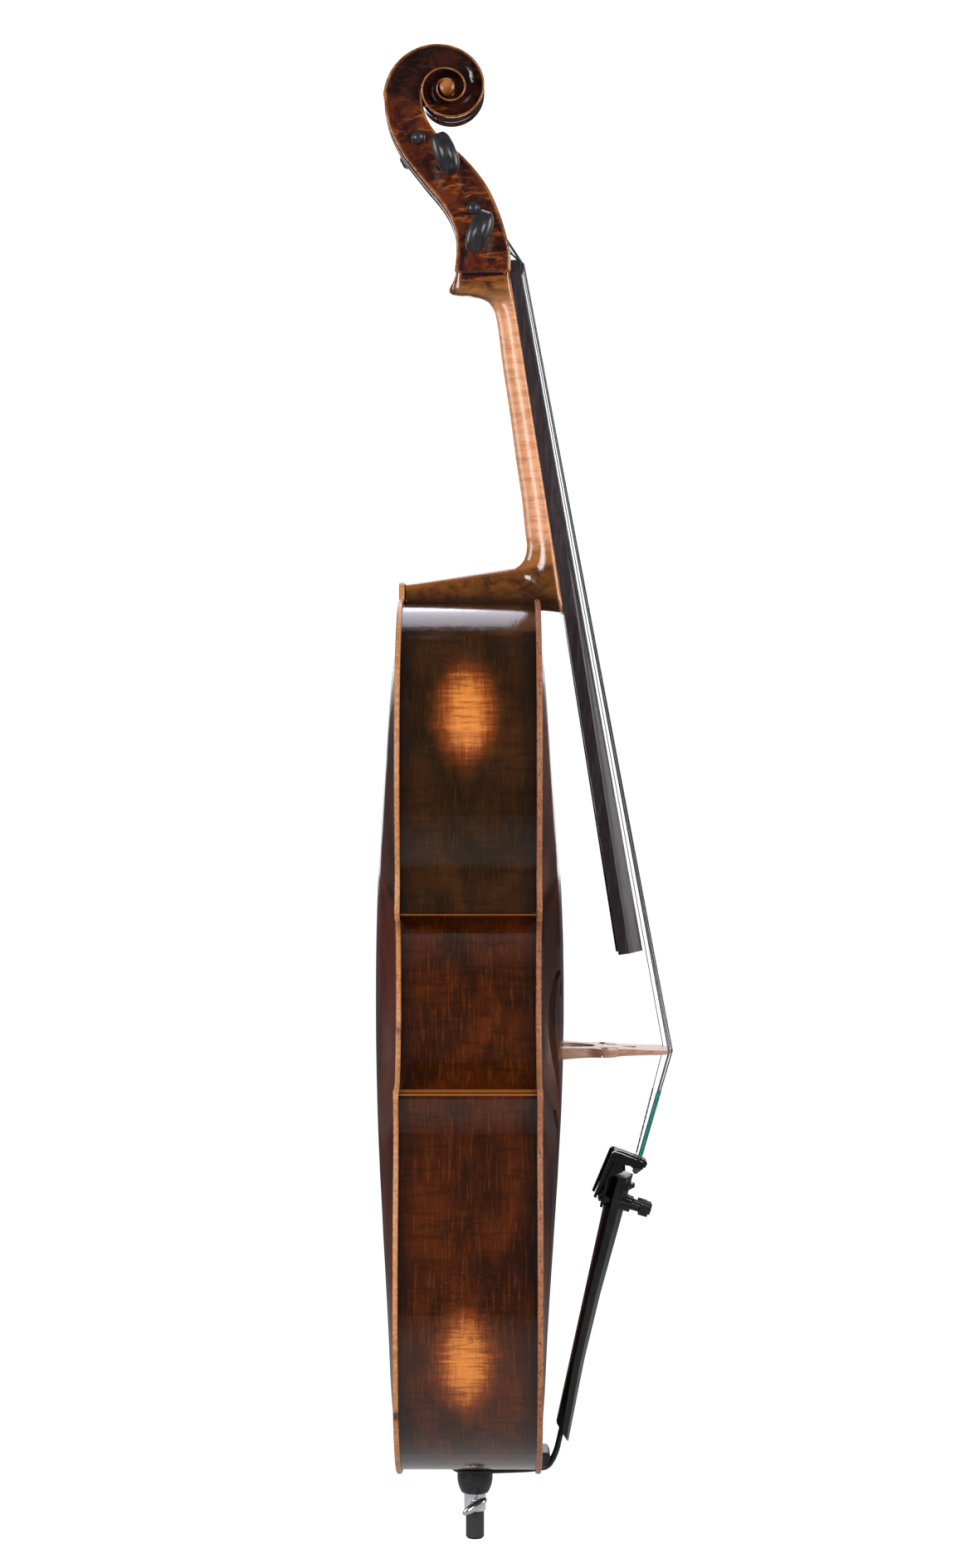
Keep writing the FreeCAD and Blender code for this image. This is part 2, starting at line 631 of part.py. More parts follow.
def nut():
    """Ebony nut with a rounded top and four string grooves."""
    base = profile([(BOARD_BOTTOM_F, NUT_Z), (41.2, NUT_Z), (42.4, NUT_Z + 4.0), (42.2, NUT_TOP_Z - 3.0),
                    (38.0, NUT_TOP_Z), (BOARD_BOTTOM_F, NUT_TOP_Z)], 15.8)
    cap = rod(at(0, 42.4 - 40.0, NUT_Z - 1), at(0, 42.4 - 40.0, NUT_TOP_Z + 1), 40.0)
    base = base.common(cap)
    grooves = []
    for name in STRINGS:
        points = string_points(name)
        grooves.append(polyline(points[1:4], STRING_R[name] + 0.05))
    return base.cut(grooves)


def bridge():
    """Cut-out bridge, thick at the feet and thin at the crown, standing on the arching."""
    inner = [(0, 104), (10, 101.5), (18, 93), (22, 82), (18.5, 75.5), (17.5, 60)]
    side = [(46, 60), (46, 74), (41, 80), (36.5, 90), (34, 98), (38, 106), (41, 112), (39.5, 119), (33, 123),
            (29.5, 132), (30, 144), (31.5, 152), (31.5, 163.5)]
    edges = []
    for sign in (-1, 1):
        edges.append(path_edge([(sign * x, f) for x, f in inner], BRIDGE_Z - 10))
        edges.append(Part.makeLine(at(sign * 17.5, 60, BRIDGE_Z - 10), at(sign * 46, 60, BRIDGE_Z - 10)))
        edges.append(path_edge([(sign * x, f) for x, f in side], BRIDGE_Z - 10))
    low_z = BRIDGE_Z - 10
    top = Part.Arc(at(-31.5, 163.5, low_z), at(-1, 170.4, low_z), at(31.5, 163.5, low_z))
    edges.append(top.toShape())
    face = Part.Face(Part.Wire(Part.__sortEdges__(edges)))
    blank = face.extrude(at(0, 0, 20))
    taper = profile([(55, BRIDGE_Z - 5.6), (172, BRIDGE_Z - 1.4), (172, BRIDGE_Z + 1.4),
                     (55, BRIDGE_Z + 5.6)], 60)
    blank = blank.common(taper)
    cuts = []
    for sign in (-1, 1):
        kidney = Part.makeCylinder(5.2, 30, at(sign * 22.5, 112, BRIDGE_Z - 15), at(0, 0, 1))
        kidney = kidney.fuse(Part.makeCylinder(4.2, 30, at(sign * 20.0, 120, BRIDGE_Z - 15), at(0, 0, 1)))
        slot = box(sorted((sign * 24.0, sign * 40.0)), (108.5, 113.5), (BRIDGE_Z - 15, BRIDGE_Z + 15))
        cuts += [kidney, slot]
    heart = Part.makeCylinder(4.0, 30, at(-3.2, 136, BRIDGE_Z - 15), at(0, 0, 1))
    heart = heart.fuse(Part.makeCylinder(4.0, 30, at(3.2, 136, BRIDGE_Z - 15), at(0, 0, 1)))
    point = [at(-6.2, 133.4, BRIDGE_Z - 15), at(0, 137, BRIDGE_Z - 15), at(6.2, 133.4, BRIDGE_Z - 15),
             at(0, 126, BRIDGE_Z - 15)]
    heart = heart.fuse(Part.Face(Part.makePolygon(point + point[:1])).extrude(at(0, 0, 30)))
    cuts.append(heart)
    for name in STRINGS:
        points = string_points(name)
        cuts.append(polyline(points[:3], STRING_R[name] + 0.05))
    return blank.cut(cuts).cut(TOP_UNDER)


def path_edge(points, z):
    """Smooth edge through side and front distances at one height."""
    curve = Part.BSplineCurve()
    curve.interpolate([at(x, f, z) for x, f in points])
    return curve.toShape()


def ridge_f(z):
    """Front distance of the tailpiece's ridge line."""
    for (z0, f0), (z1, f1) in zip(TAIL_RIDGE, TAIL_RIDGE[1:]):
        if z <= z1:
            return f0 + (f1 - f0) * (z - z0) / (z1 - z0)
    return TAIL_RIDGE[-1][1]


def tail_section(z, half, side_t):
    """Roofed section of the tailpiece at one height."""
    top = ridge_f(z)
    under = under_f(z)
    shoulder = top - RIDGE_DROP * half
    points = [at(0, top, z), at(half, shoulder, z), at(half, shoulder - side_t, z), at(half * 0.6, under, z),
              at(-half * 0.6, under, z), at(-half, shoulder - side_t, z), at(-half, shoulder, z)]
    return Part.makePolygon(points + points[:1])


def screw_axis(name):
    """Top end of a tuner screw and the direction from its knob into the tailpiece."""
    drop = TUNER_DROP if abs(TUNER_X[name]) > 10 else 0.0
    angle = math.radians(SCREW_ANGLE)
    return at(TUNER_X[name], SCREW_F - drop, SCREW_Z), at(0, -math.cos(angle), math.sin(angle))


def tailpiece():
    """Ridged tailpiece that narrows to the tailgut, bored for the four tuners."""
    solid = Part.makeLoft([tail_section(*section) for section in TAIL_SECTIONS], True, True)
    cuts = [profile([(66.4, 107.8), (82.6, 80.8), (60.0, 80.8)], 20.0)]
    for name in STRINGS:
        start, into = screw_axis(name)
        cuts.append(rod(start, start + into * 60.0, BUSH_R + 0.05))
    cuts.append(tailgut(TAILGUT_R + 0.15))
    return solid.cut(cuts)


def tailpiece_fret():
    """Ridged bar across the tailpiece's upper end."""
    top = ridge_f(306.0)
    drop = RIDGE_DROP * 26.0
    side_f = top - drop
    points = [at(-26, side_f, 304), at(0, top, 304), at(26, side_f, 304), at(26, side_f + 3.0, 304),
              at(0, top + 4.0, 304), at(-26, side_f + 3.0, 304)]
    bar = Part.Face(Part.makePolygon(points + points[:1])).extrude(at(0, 0, 4))
    return bar.cut(tailpiece_blank())


def tailpiece_blank():
    """Outer body of the tailpiece's upper end, to seat the fret."""
    return Part.makeLoft([tail_section(*section) for section in TAIL_SECTIONS[-2:]], True, True)


def under_f(z):
    """Front distance of the tailpiece's underside."""
    return TAIL_UNDER_F + TAIL_UNDER_SLOPE * (z - TAIL_LOW_Z)


def tuner_shift(name):
    """Offset of a tuner from the middle plane's pattern."""
    drop = TUNER_DROP if abs(TUNER_X[name]) > 10 else 0.0
    return at(TUNER_X[name], -drop, 0)


def tuner_frame(name):
    """Bracket under the tailpiece: a threaded bush for the screw and two ears for the lever's pin."""
    plate = profile([(under_f(290) - 2.0, 290), (under_f(290) - 0.05, 290), (under_f(316) - 0.05, 316),
                     (under_f(316) - 2.0, 316)], 5.6)
    ear = [(under_f(300) - 1.9, 300), (under_f(316) - 1.9, 316), (PIVOT_F - 5.5, 326), (PIVOT_F + 2.5, 327),
           (PIVOT_F + 3.0, 320), (under_f(316) - 0.05, 316.2), (under_f(300) - 0.05, 300)]
    ears = profile(ear, 5.6).cut(box((-4.2, 4.2), (90, 150), (270, 340)))
    pin = rod(at(-5.6, PIVOT_F, PIVOT_Z), at(5.6, PIVOT_F, PIVOT_Z), 1.2)
    frame = plate.fuse([ears, pin])
    frame.translate(tuner_shift(name))
    start, into = screw_axis(name)
    frame = frame.fuse(rod(start + into * 10.5, start + into * 33.0, BUSH_R))
    return frame.cut(rod(start, start + into * 60.0, SCREW_R + 0.05))


def tailpiece_upper():
    """Outer body of the tailpiece, to seat the collars."""
    return Part.makeLoft([tail_section(*section) for section in TAIL_SECTIONS[-3:]], True, True)


def tuner_lever(name):
    """Right-angled lever: a long arm under the screw and a slotted arm for the string."""
    long_arm = [(105.2, 298.6), (107.2, 297.8), (123.2, 331.0), (121.0, 336.2)]
    short_arm = [(121.0, 336.2), (119.4, 332.4), (124.0, 329.0), (131.0, 326.2), (139, 324.6), (147, 321.8),
                 (149.0, 325.6), (148.0, 328.2), (127.0, 336.4), (123.0, 337.4)]
    solid = profile(long_arm, 3.9).fuse(profile(short_arm, 3.9))
    boss = rod(at(-3.9, PIVOT_F, PIVOT_Z), at(3.9, PIVOT_F, PIVOT_Z), 2.9)
    web = profile([(121.0, 331.0), (PIVOT_F - 2.0, PIVOT_Z - 1.0), (PIVOT_F + 2.4, PIVOT_Z + 1.0),
                   (132.0, 329.0)], 3.9)
    bore = rod(at(-5, PIVOT_F, PIVOT_Z), at(5, PIVOT_F, PIVOT_Z), 1.25)
    slot = box((-1.5, 1.5), (139.0, 150.0), (318.0, 340.0))
    solid = solid.fuse([boss, web]).cut([bore, slot])
    solid.translate(tuner_shift(name))
    return solid


def ball_end(name):
    """Metal ball end with a stub of string that holds it in the lever's fork."""
    ball = rod(at(-3.4, 141.2, 320.9), at(3.4, 141.2, 320.9), 2.5)
    ball = ball.fuse(rod(at(0, 141.2, 320.9), at(0, 143.4, 329.6), STRING_R[name]))
    ball.translate(tuner_shift(name))
    return ball


def tuner_screw(name):
    """Screw with a lobed knob."""
    start, into = screw_axis(name)
    shaft = rod(start, start + into * 38.0, SCREW_R)
    neck = rod(start, start + into * 8.5, 2.7)
    knob = Part.makeCylinder(4.4, KNOB_LENGTH, start - into * 7.0, into)
    lobes = []
    side = into.cross(FreeCAD.Vector(1, 0, 0))
    for i in range(6):
        angle = math.pi * i / 3.0
        outward = FreeCAD.Vector(1, 0, 0) * math.cos(angle) + side * math.sin(angle)
        lobes.append(Part.makeCylinder(1.5, KNOB_LENGTH, start - into * 7.0 + outward * 3.8, into))
    return shaft.fuse([neck, knob] + lobes)


def tuner_collar(name):
    """Round nut that clamps the tuner to the tailpiece's face."""
    start, into = screw_axis(name)
    outer = rod(start + into * 9.0, start + into * 22.0, 5.2)
    inner = rod(start, start + into * 40.0, BUSH_R + 0.05)
    return outer.cut([tailpiece_upper(), inner])


def saddle():
    """Ebony saddle let into the top's lower edge."""
    body = profile([(FRONT_EDGE_F - TOP_EDGE_T, 66.0), (60.0, 65.4), (63.6, 68.8), (65.0, 73.0), (63.0, 77.5),
                    (FRONT_EDGE_F - TOP_EDGE_T, 78.5)], 19.0)
    return body


def cord(points, radius):
    """Round cord along straight runs joined by tangent arcs."""
    edges = []
    last = points[0]
    for before, corner, after in zip(points, points[1:], points[2:]):
        inward = corner - before
        onward = after - corner
        reach = 0.45 * min(inward.Length, onward.Length)
        start = corner - inward * (reach / inward.Length)
        end = corner + onward * (reach / onward.Length)
        edges.append(Part.makeLine(last, start))
        edges.append(tangent_arc(start, corner, end))
        last = end
    edges.append(Part.makeLine(last, points[-1]))
    ring = Part.Wire(Part.makeCircle(radius, points[0], points[1] - points[0]))
    return Part.Wire(edges).makePipeShell([ring], True, True)


def tailgut(radius):
    """Cord from the tailpiece over the saddle, round the endpin's collar and back."""
    half = [(4.5, 78.4, 108.0), (4.5, 74.0, 90.0), (4.5, 71.2, 77.5), (4.5, 67.9, 69.2), (4.6, 63.0, 62.2),
            (9.5, 48.0, 61.0), (18.8, -7.3, 61.0), (7.3, -18.0, 61.0)]
    there = [at(-x, f, z) for x, f, z in half]
    back = [at(x, f, z) for x, f, z in reversed(half)]
    return cord(there + back, radius)


def endpin_socket():
    """Barrel-shaped collar and tapered plug let into the bottom block, bored for the rod."""
    foot = at(COLLAR_FOOT_R, 0, COLLAR_Z)
    head = at(COLLAR_HEAD_R, 0, COLLAR_TOP_Z)
    bulge = Part.Arc(foot, at(COLLAR_R, 0, (COLLAR_Z + COLLAR_TOP_Z) / 2.0), head).toShape()
    spine = Part.makePolygon([head, at(0, 0, COLLAR_TOP_Z), at(0, 0, COLLAR_Z), foot])
    collar = Part.Face(Part.Wire([bulge] + spine.Edges)).revolve(at(0, 0, 0), at(0, 0, 1), 360)
    plug = Part.makeCone(12.5, 11.5, PLUG_TOP_Z - COLLAR_TOP_Z, at(0, 0, COLLAR_TOP_Z))
    return collar.fuse(plug).cut(Part.makeCylinder(7.0, 100.0, at(0, 0, 30)))


def endpin_sleeve():
    """Chromed clamp sleeve with a lining tube up through the plug."""
    sleeve = Part.makeCylinder(SLEEVE_R, COLLAR_Z - SLEEVE_Z, at(0, 0, SLEEVE_Z))
    sleeve = sleeve.makeChamfer(0.8, [e for e in sleeve.Edges if isinstance(e.Curve, Part.Circle)])
    tube = Part.makeCylinder(7.0, PLUG_TOP_Z - COLLAR_Z, at(0, 0, COLLAR_Z))
    bore = Part.makeCylinder(ROD_R + ROD_CLEAR, 100.0, at(0, 0, 10))
    screw = rod(at(-12, 0, THUMB_Z), at(0, 0, THUMB_Z), 2.55)
    return sleeve.fuse(tube).cut([bore, screw])


def endpin_rod():
    """Steel rod, pushed right in."""
    return Part.makeCylinder(ROD_R, ROD_TOP_Z - 8.0, at(0, 0, 8.0))


def endpin_tip():
    """Rubber tip with a chamfered foot."""
    tip = Part.makeCylinder(TIP_R, TIP_TOP_Z, at(0, 0, 0))
    tip = tip.makeChamfer(1.6, [e for e in tip.Edges if abs(e.BoundBox.ZMax) < 0.01])
    return tip.cut(Part.makeCylinder(ROD_R, 40.0, at(0, 0, 8.0)))


def thumbscrew():
    """Clamp screw with an oval wing."""
    stem = rod(at(-16.0, 0, THUMB_Z), at(-ROD_R - 0.5, 0, THUMB_Z), 2.5)
    collar = rod(at(-14.0, 0, THUMB_Z), at(-10.5, 0, THUMB_Z), 4.2)
    wing = ellipsoid((5.5, 12.5, 4.0), 180.0)
    wing.rotate(at(0, 0, 0), FreeCAD.Vector(1, 0, 0), -33.0)
    wing.translate(at(-18.0, 0, THUMB_Z))
    return stem.fuse([collar, wing])


# ---------------------------------------------------------------- build
BACK_IN_F = BACK_EDGE_F + BACK_EDGE_T
FRONT_IN_F = FRONT_EDGE_F - TOP_EDGE_T
TOP_UNDER = arch_solid(FRONT_EDGE_F, 1, TOP_RISE, TOP_FULLNESS, MARGIN + 6, CHANNEL_DIP, 60.0)
TOP_INNER = arch_solid(FRONT_IN_F + HOLLOW_STEP, 1, TOP_RISE - CENTRE_T + TOP_EDGE_T - HOLLOW_STEP,
                       TOP_FULLNESS, HOLLOW_MARGIN + 3, 0.0, 200.0)
BACK_UNDER = arch_solid(BACK_EDGE_F, -1, BACK_RISE, BACK_FULLNESS, MARGIN + 6, CHANNEL_DIP, 60.0)
BACK_INNER = arch_solid(BACK_IN_F - HOLLOW_STEP, -1, BACK_RISE - CENTRE_T + BACK_EDGE_T - HOLLOW_STEP,
                        BACK_FULLNESS, HOLLOW_MARGIN + 3, 0.0, 200.0)

NECK = neck()
save("neck_and_scroll", NECK)

top_groove = purfling(FRONT_EDGE_F - PURFLING_DEPTH, FRONT_EDGE_F)
top_plate = plate_blank(FRONT_IN_F, FRONT_EDGE_F, TOP_UNDER, TOP_INNER)
top_plate = top_plate.cut([fhole(-1), fhole(1), top_groove, NECK, saddle()])
save("top_plate", top_plate)
save("purfling_top", top_groove.cut([NECK, saddle()]))

back_groove = purfling(BACK_EDGE_F, BACK_EDGE_F + PURFLING_DEPTH)
back_plate = plate_blank(BACK_IN_F, BACK_EDGE_F, BACK_UNDER, BACK_INNER).cut(back_groove)
button = Part.makeCylinder(15.2, BACK_EDGE_T, at(0, BACK_EDGE_F, 813.5), at(0, 1, 0))
button = button.common(box((-20, 20), (-70, -55), (812.2, 832)))
save("back_plate", back_plate.fuse(button))
save("purfling_back", back_groove)

garland = slab(OVERHANG, BACK_IN_F, FRONT_IN_F).cut(slab(OVERHANG + RIB_T, BACK_IN_F - 1, FRONT_IN_F + 1))
plug_hole = Part.makeCone(12.5, 11.5, PLUG_TOP_Z - COLLAR_TOP_Z, at(0, 0, COLLAR_TOP_Z))
for name, points in rib_regions().items():
    treble = garland.common(plan(points, -80, 80)).cut([NECK, plug_hole])
    save("rib_" + name + "_treble", treble)
    save("rib_" + name + "_bass", treble.mirror(at(0, 0, 0), FreeCAD.Vector(1, 0, 0)))

interior = slab(OVERHANG + RIB_T, BACK_IN_F, FRONT_IN_F)
top_block = interior.common(box((-40, 40), (-70, 60), (BODY_Z + 712, 830)))
bottom_block = interior.common(box((-36, 36), (-70, 60), (60, BODY_Z + 34)))
corner_boxes = []
for sign in (-1, 1):
    corner_boxes.append(box(sorted((sign * 164, sign * 210)), (-70, 60), (BODY_Z + 312, BODY_Z + 352)))
    corner_boxes.append(box(sorted((sign * 130, sign * 175)), (-70, 60), (BODY_Z + 468, BODY_Z + 505)))
corner_blocks = [interior.common(corner) for corner in corner_boxes]
save("top_block", top_block.cut(NECK))
save("bottom_block", bottom_block.cut(plug_hole))
save("corner_blocks", group(corner_blocks))

lining_ring = interior.cut(slab(OVERHANG + RIB_T + LINING_W, BACK_IN_F - 1, FRONT_IN_F + 1))
lining_ring = lining_ring.cut([top_block, bottom_block] + corner_boxes)
save("linings_top", lining_ring.common(slab(0, FRONT_IN_F - LINING_H, FRONT_IN_F)))
save("linings_back", lining_ring.common(slab(0, BACK_IN_F, BACK_IN_F + LINING_H)))

bar = profile([(49.5, BODY_Z + 82), (54.0, BODY_Z + 82), (80.0, BODY_Z + 200), (80.0, BODY_Z + 600),
               (54.0, BODY_Z + 676), (49.5, BODY_Z + 676), (45.0, BODY_Z + 380)], 5.5)
bar.translate(at(-27.0, 0, 0))
save("bass_bar", bar.common(TOP_INNER))
post = rod(at(27.0, -90.0, BRIDGE_Z - 16), at(27.0, 90.0, BRIDGE_Z - 16), 5.5)
save("sound_post", post.common(TOP_INNER).common(BACK_INNER))

save("fingerboard", fingerboard())
save("nut", nut())
save("bridge", bridge())
save("saddle", saddle())
save("tailpiece", tailpiece())
save("tailpiece_fret", tailpiece_fret())
save("tailgut", tailgut(TAILGUT_R))
save("endpin_socket", endpin_socket())
save("endpin_sleeve", endpin_sleeve())
save("endpin_rod", endpin_rod())
save("endpin_tip", endpin_tip())
save("thumbscrew", thumbscrew())
for name in STRINGS:
    save("peg_" + name, peg(name))
    save("string_coil_" + name, coil(name))
    save("string_" + name, polyline(string_points(name), STRING_R[name]))
    save("tuner_screw_" + name, tuner_screw(name))
    save("tuner_lever_" + name, tuner_lever(name))
    save("ball_end_" + name, ball_end(name))
save("tuner_frames", group([tuner_frame(name) for name in STRINGS]))
save("tuner_collars", group([tuner_collar(name) for name in STRINGS]))
save("silk_a", silk("a"))
save("silks_cgd", group([silk(name) for name in STRINGS if name != "a"]))
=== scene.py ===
"""Looks of the cello: materials, detailed carved and turned meshes, studio light and camera."""
import json
import math

import bpy
import numpy as np
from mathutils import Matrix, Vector


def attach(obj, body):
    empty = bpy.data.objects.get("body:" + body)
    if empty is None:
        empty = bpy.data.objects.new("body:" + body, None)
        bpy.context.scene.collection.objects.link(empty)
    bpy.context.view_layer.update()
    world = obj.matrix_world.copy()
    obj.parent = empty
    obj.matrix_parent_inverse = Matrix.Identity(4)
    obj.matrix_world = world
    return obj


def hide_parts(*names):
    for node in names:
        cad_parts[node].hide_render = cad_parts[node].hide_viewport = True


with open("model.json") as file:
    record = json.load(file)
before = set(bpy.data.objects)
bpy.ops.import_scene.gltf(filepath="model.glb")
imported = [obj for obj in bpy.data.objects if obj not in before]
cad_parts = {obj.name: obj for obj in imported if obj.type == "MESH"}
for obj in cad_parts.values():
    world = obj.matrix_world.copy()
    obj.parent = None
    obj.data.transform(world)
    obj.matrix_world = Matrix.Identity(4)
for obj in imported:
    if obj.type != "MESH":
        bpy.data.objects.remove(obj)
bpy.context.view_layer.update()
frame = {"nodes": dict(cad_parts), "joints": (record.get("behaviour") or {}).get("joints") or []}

STRINGS = ("c", "g", "d", "a")
JOINTS = {joint["name"]: joint for joint in frame["joints"]}

# Places of the wear on the bass side, in metres: height, front distance, half height, half width.
UPPER_PATCH = (0.712, -0.0063, 0.0395, 0.0230)
LOWER_PATCH = (0.189, -0.0062, 0.0420, 0.0225)
CRACKLE = (0.236, -0.003, 0.040, 0.040)
RIB_MIDDLE = 0.0049
UPPER_CORNER_Z = 0.5466
LOWER_CORNER_Z = 0.4030

# Volute, in millimetres: its eye, and the rim's radius at each quarter turn. The first is a quarter turn
# before the back of the head. Half widths and flute depths are by turn.
EYE_F = -23.8
EYE_Z = 1252.5
EYE_R = 6.4
EYE_X = 32.0
RIM_QUARTERS = (68.0, 55.0, 38.9, 31.7, 24.4, 22.5, 17.8, 16.0, 11.6, 9.4, 7.6, EYE_R)
VOLUTE_HALF = ((0.0, 15.2), (1.0, 23.6), (2.4, 31.0))
FLUTE_DEPTH = ((-0.03, 0.0), (0.06, 0.6), (0.4, 6.6), (1.0, 9.0), (2.4, 7.0))
RIM_FACE = 1.1

# Side view of the pegbox from the nut's foot to the volute, front distance and height in millimetres.
BOX_BACK = ((-17.5, 1096.0), (-16.0, 1111.0), (-17.5, 1131.0), (-26.5, 1151.0),
            (-45.5, 1174.5), (-64.5, 1200.0), (-76.0, 1226.0), (-78.8, 1252.5))
BOX_FRONT = ((31.0, 1096.0), (30.0, 1114.0), (22.5, 1142.5), (10.5, 1169.5),
             (-8.0, 1193.0), (-33.5, 1216.0), (-43.5, 1234.0), (-45.5, 1252.5))
BOX_HALF = (20.9, 15.2)
BOX_EDGE = 1.3
HOLLOW_Z = (1111.0, 1217.0)
HOLLOW_FLOOR = 9.5

# Shares of the half width at which the back of the pegbox and volute is sampled, up to its bead.
BEAD_START = 0.945
BACK_SHARES = (0.0, 0.18, 0.36, 0.54, 0.72, 0.86, BEAD_START)

# How finely the carved pieces are sampled: rows along them, and points round them.
NECK_ROWS = 240
BOX_ROWS = 104
VOLUTE_ROWS = 250
RIM_STEPS = 300
CURVE_STEPS = 400
ROUND_POINTS = 17
EYE_RING = 36
PEG_RING = 48

# The neck's gluing plane under the fingerboard, in millimetres, as in the CAD.
NUT_Z = 1095.5
BOARD_PLANE = 29.9
BOARD_SLOPE = 0.1588
BOARD_HALF = 15.4
BOARD_HALF_SLOPE = 0.0282
CHEEK = 7.0


def place(x, f, z):
    """Row position in metres from side, front and height distances in millimetres."""
    return (x / 1000.0, -f / 1000.0, z / 1000.0)


# ---------------------------------------------------------------- shader helpers
class Look:
    """A material under construction; each method adds a node and returns its output socket."""

    def __init__(self, name):
        self.material = bpy.data.materials.new(name)
        self.material.use_nodes = True
        self.tree = self.material.node_tree
        self.shader = self.tree.nodes["Principled BSDF"]
        self.where = self.node("ShaderNodeTexCoord").outputs["Object"]
        self.x, self.y, self.z = self.split(self.where)

    def node(self, kind, **settings):
        made = self.tree.nodes.new(kind)
        for key, value in settings.items():
            setattr(made, key, value)
        return made

    def feed(self, socket, value):
        if isinstance(value, bpy.types.NodeSocket):
            self.tree.links.new(value, socket)
        elif socket.type == "RGBA" and len(value) == 3:
            socket.default_value = (*value, 1.0)
        else:
            socket.default_value = value

    def split(self, vector):
        node = self.node("ShaderNodeSeparateXYZ")
        self.feed(node.inputs[0], vector)
        return node.outputs

    def calc(self, operation, a, b=0.0):
        node = self.node("ShaderNodeMath", operation=operation)
        self.feed(node.inputs[0], a)
        self.feed(node.inputs[1], b)
        return node.outputs[0]

    def ease(self, value, low, high):
        """0 below low, 1 above high, eased between; low may be the larger."""
        node = self.node("ShaderNodeMapRange", interpolation_type="SMOOTHSTEP")
        self.feed(node.inputs[0], value)
        if low > high:
            low, high = high, low
            self.feed(node.inputs[3], 1.0)
            self.feed(node.inputs[4], 0.0)
        self.feed(node.inputs[1], low)
        self.feed(node.inputs[2], high)
        return node.outputs[0]

    def stretch(self, scale):
        node = self.node("ShaderNodeMapping")
        self.feed(node.inputs["Vector"], self.where)
        node.inputs["Scale"].default_value = scale
        return node.outputs[0]

    def noise(self, scale, detail=3.0, rough=0.55, distortion=0.0):
        """Noise whose scale is cycles per metre along x, y and z."""
        if not isinstance(scale, tuple):
            scale = (scale, scale, scale)
        node = self.node("ShaderNodeTexNoise")
        self.feed(node.inputs["Vector"], self.stretch(scale))
        node.inputs["Scale"].default_value = 1.0
        node.inputs["Detail"].default_value = detail
        node.inputs["Roughness"].default_value = rough
        node.inputs["Distortion"].default_value = distortion
        return node.outputs["Fac"]

    def cell_edges(self, scale):
        """Distance from the nearest edge of a random mosaic."""
        node = self.node("ShaderNodeTexVoronoi", feature="DISTANCE_TO_EDGE")
        self.feed(node.inputs["Vector"], self.stretch((scale, scale, scale)))
        node.inputs["Scale"].default_value = 1.0
        return node.outputs["Distance"]

    def mix(self, factor, a, b):
        node = self.node("ShaderNodeMix", data_type="RGBA")
        self.feed(node.inputs[0], factor)
        self.feed(node.inputs[6], a)
        self.feed(node.inputs[7], b)
        return node.outputs[2]

    def blob(self, patch, streak, start, full):
        """Worn patch on the bass side: 0 beyond start, 1 within full, its sides frayed by the streaks."""
        height, front, half_h, half_w = patch
        fray = self.calc("MULTIPLY", self.calc("SUBTRACT", streak, 0.5), 1.9)
        up = self.calc("DIVIDE", self.calc("SUBTRACT", self.z, height), half_h)
        across = self.calc("DIVIDE", self.calc("ADD", self.y, front), half_w)
        reach = self.calc("ADD", self.calc("POWER", self.calc("ABSOLUTE", up), 2.2),
                          self.calc("POWER", self.calc("ABSOLUTE", across), 1.6))
        inside = self.ease(self.calc("ADD", reach, fray), start, full)
        return self.calc("MULTIPLY", inside, self.ease(self.x, -0.02, -0.05))

    def attribute(self, name):
        return self.node("ShaderNodeAttribute", attribute_name=name).outputs["Fac"]

    def normal_y(self):
        geometry = self.node("ShaderNodeNewGeometry")
        return self.calc("ABSOLUTE", self.split(geometry.outputs["Normal"])[1])

    def relief(self, height, distance, strength):
        node = self.node("ShaderNodeBump")
        node.inputs["Strength"].default_value = strength
        node.inputs["Distance"].default_value = distance
        self.feed(node.inputs["Height"], height)
        return node.outputs[0]

    def finish(self, color, rough, normal=None, **settings):
        self.feed(self.shader.inputs["Base Color"], color)
        self.feed(self.shader.inputs["Roughness"], rough)
        if normal is not None:
            self.feed(self.shader.inputs["Normal"], normal)
        for key, value in settings.items():
            self.shader.inputs[key.replace("_", " ")].default_value = value
        return self.material


# ---------------------------------------------------------------- materials
def worn_through(look, color, grain, halo):
    """Two patches worn through to the wood; returns the colour and how bare it is."""
    fine = look.calc("MULTIPLY", look.noise((9.0, 24.0, 330.0), 4.0, 0.68), 0.65)
    streak = look.calc("ADD", fine, look.calc("MULTIPLY", look.noise((9.0, 300.0, 60.0), 3.0, 0.6), 0.35))
    bare = 0.0
    for patch in (UPPER_PATCH, LOWER_PATCH):
        glow = look.blob(patch, halo, 2.1, 0.7)
        color = look.mix(look.calc("MULTIPLY", glow, 0.50), color, (0.20, 0.048, 0.008))
        core = look.blob(patch, streak, 1.50, 0.25)
        heart = look.blob(patch, streak, 0.95, -0.15)
        wood = look.mix(heart, (0.36, 0.062, 0.007), (0.96, 0.31, 0.055))
        fibre = look.calc("MULTIPLY", look.ease(grain, 0.48, 0.68), 0.30)
        wood = look.mix(fibre, wood, (0.92, 0.38, 0.10))
        weave = look.ease(look.noise((8.0, 46.0, 520.0), 3.0, 0.6), 0.50, 0.62)
        wood = look.mix(look.calc("MULTIPLY", weave, 0.50), wood, (0.16, 0.034, 0.006))
        color = look.mix(core, color, wood)
        bare = look.calc("MAXIMUM", bare, core)
    return color, bare


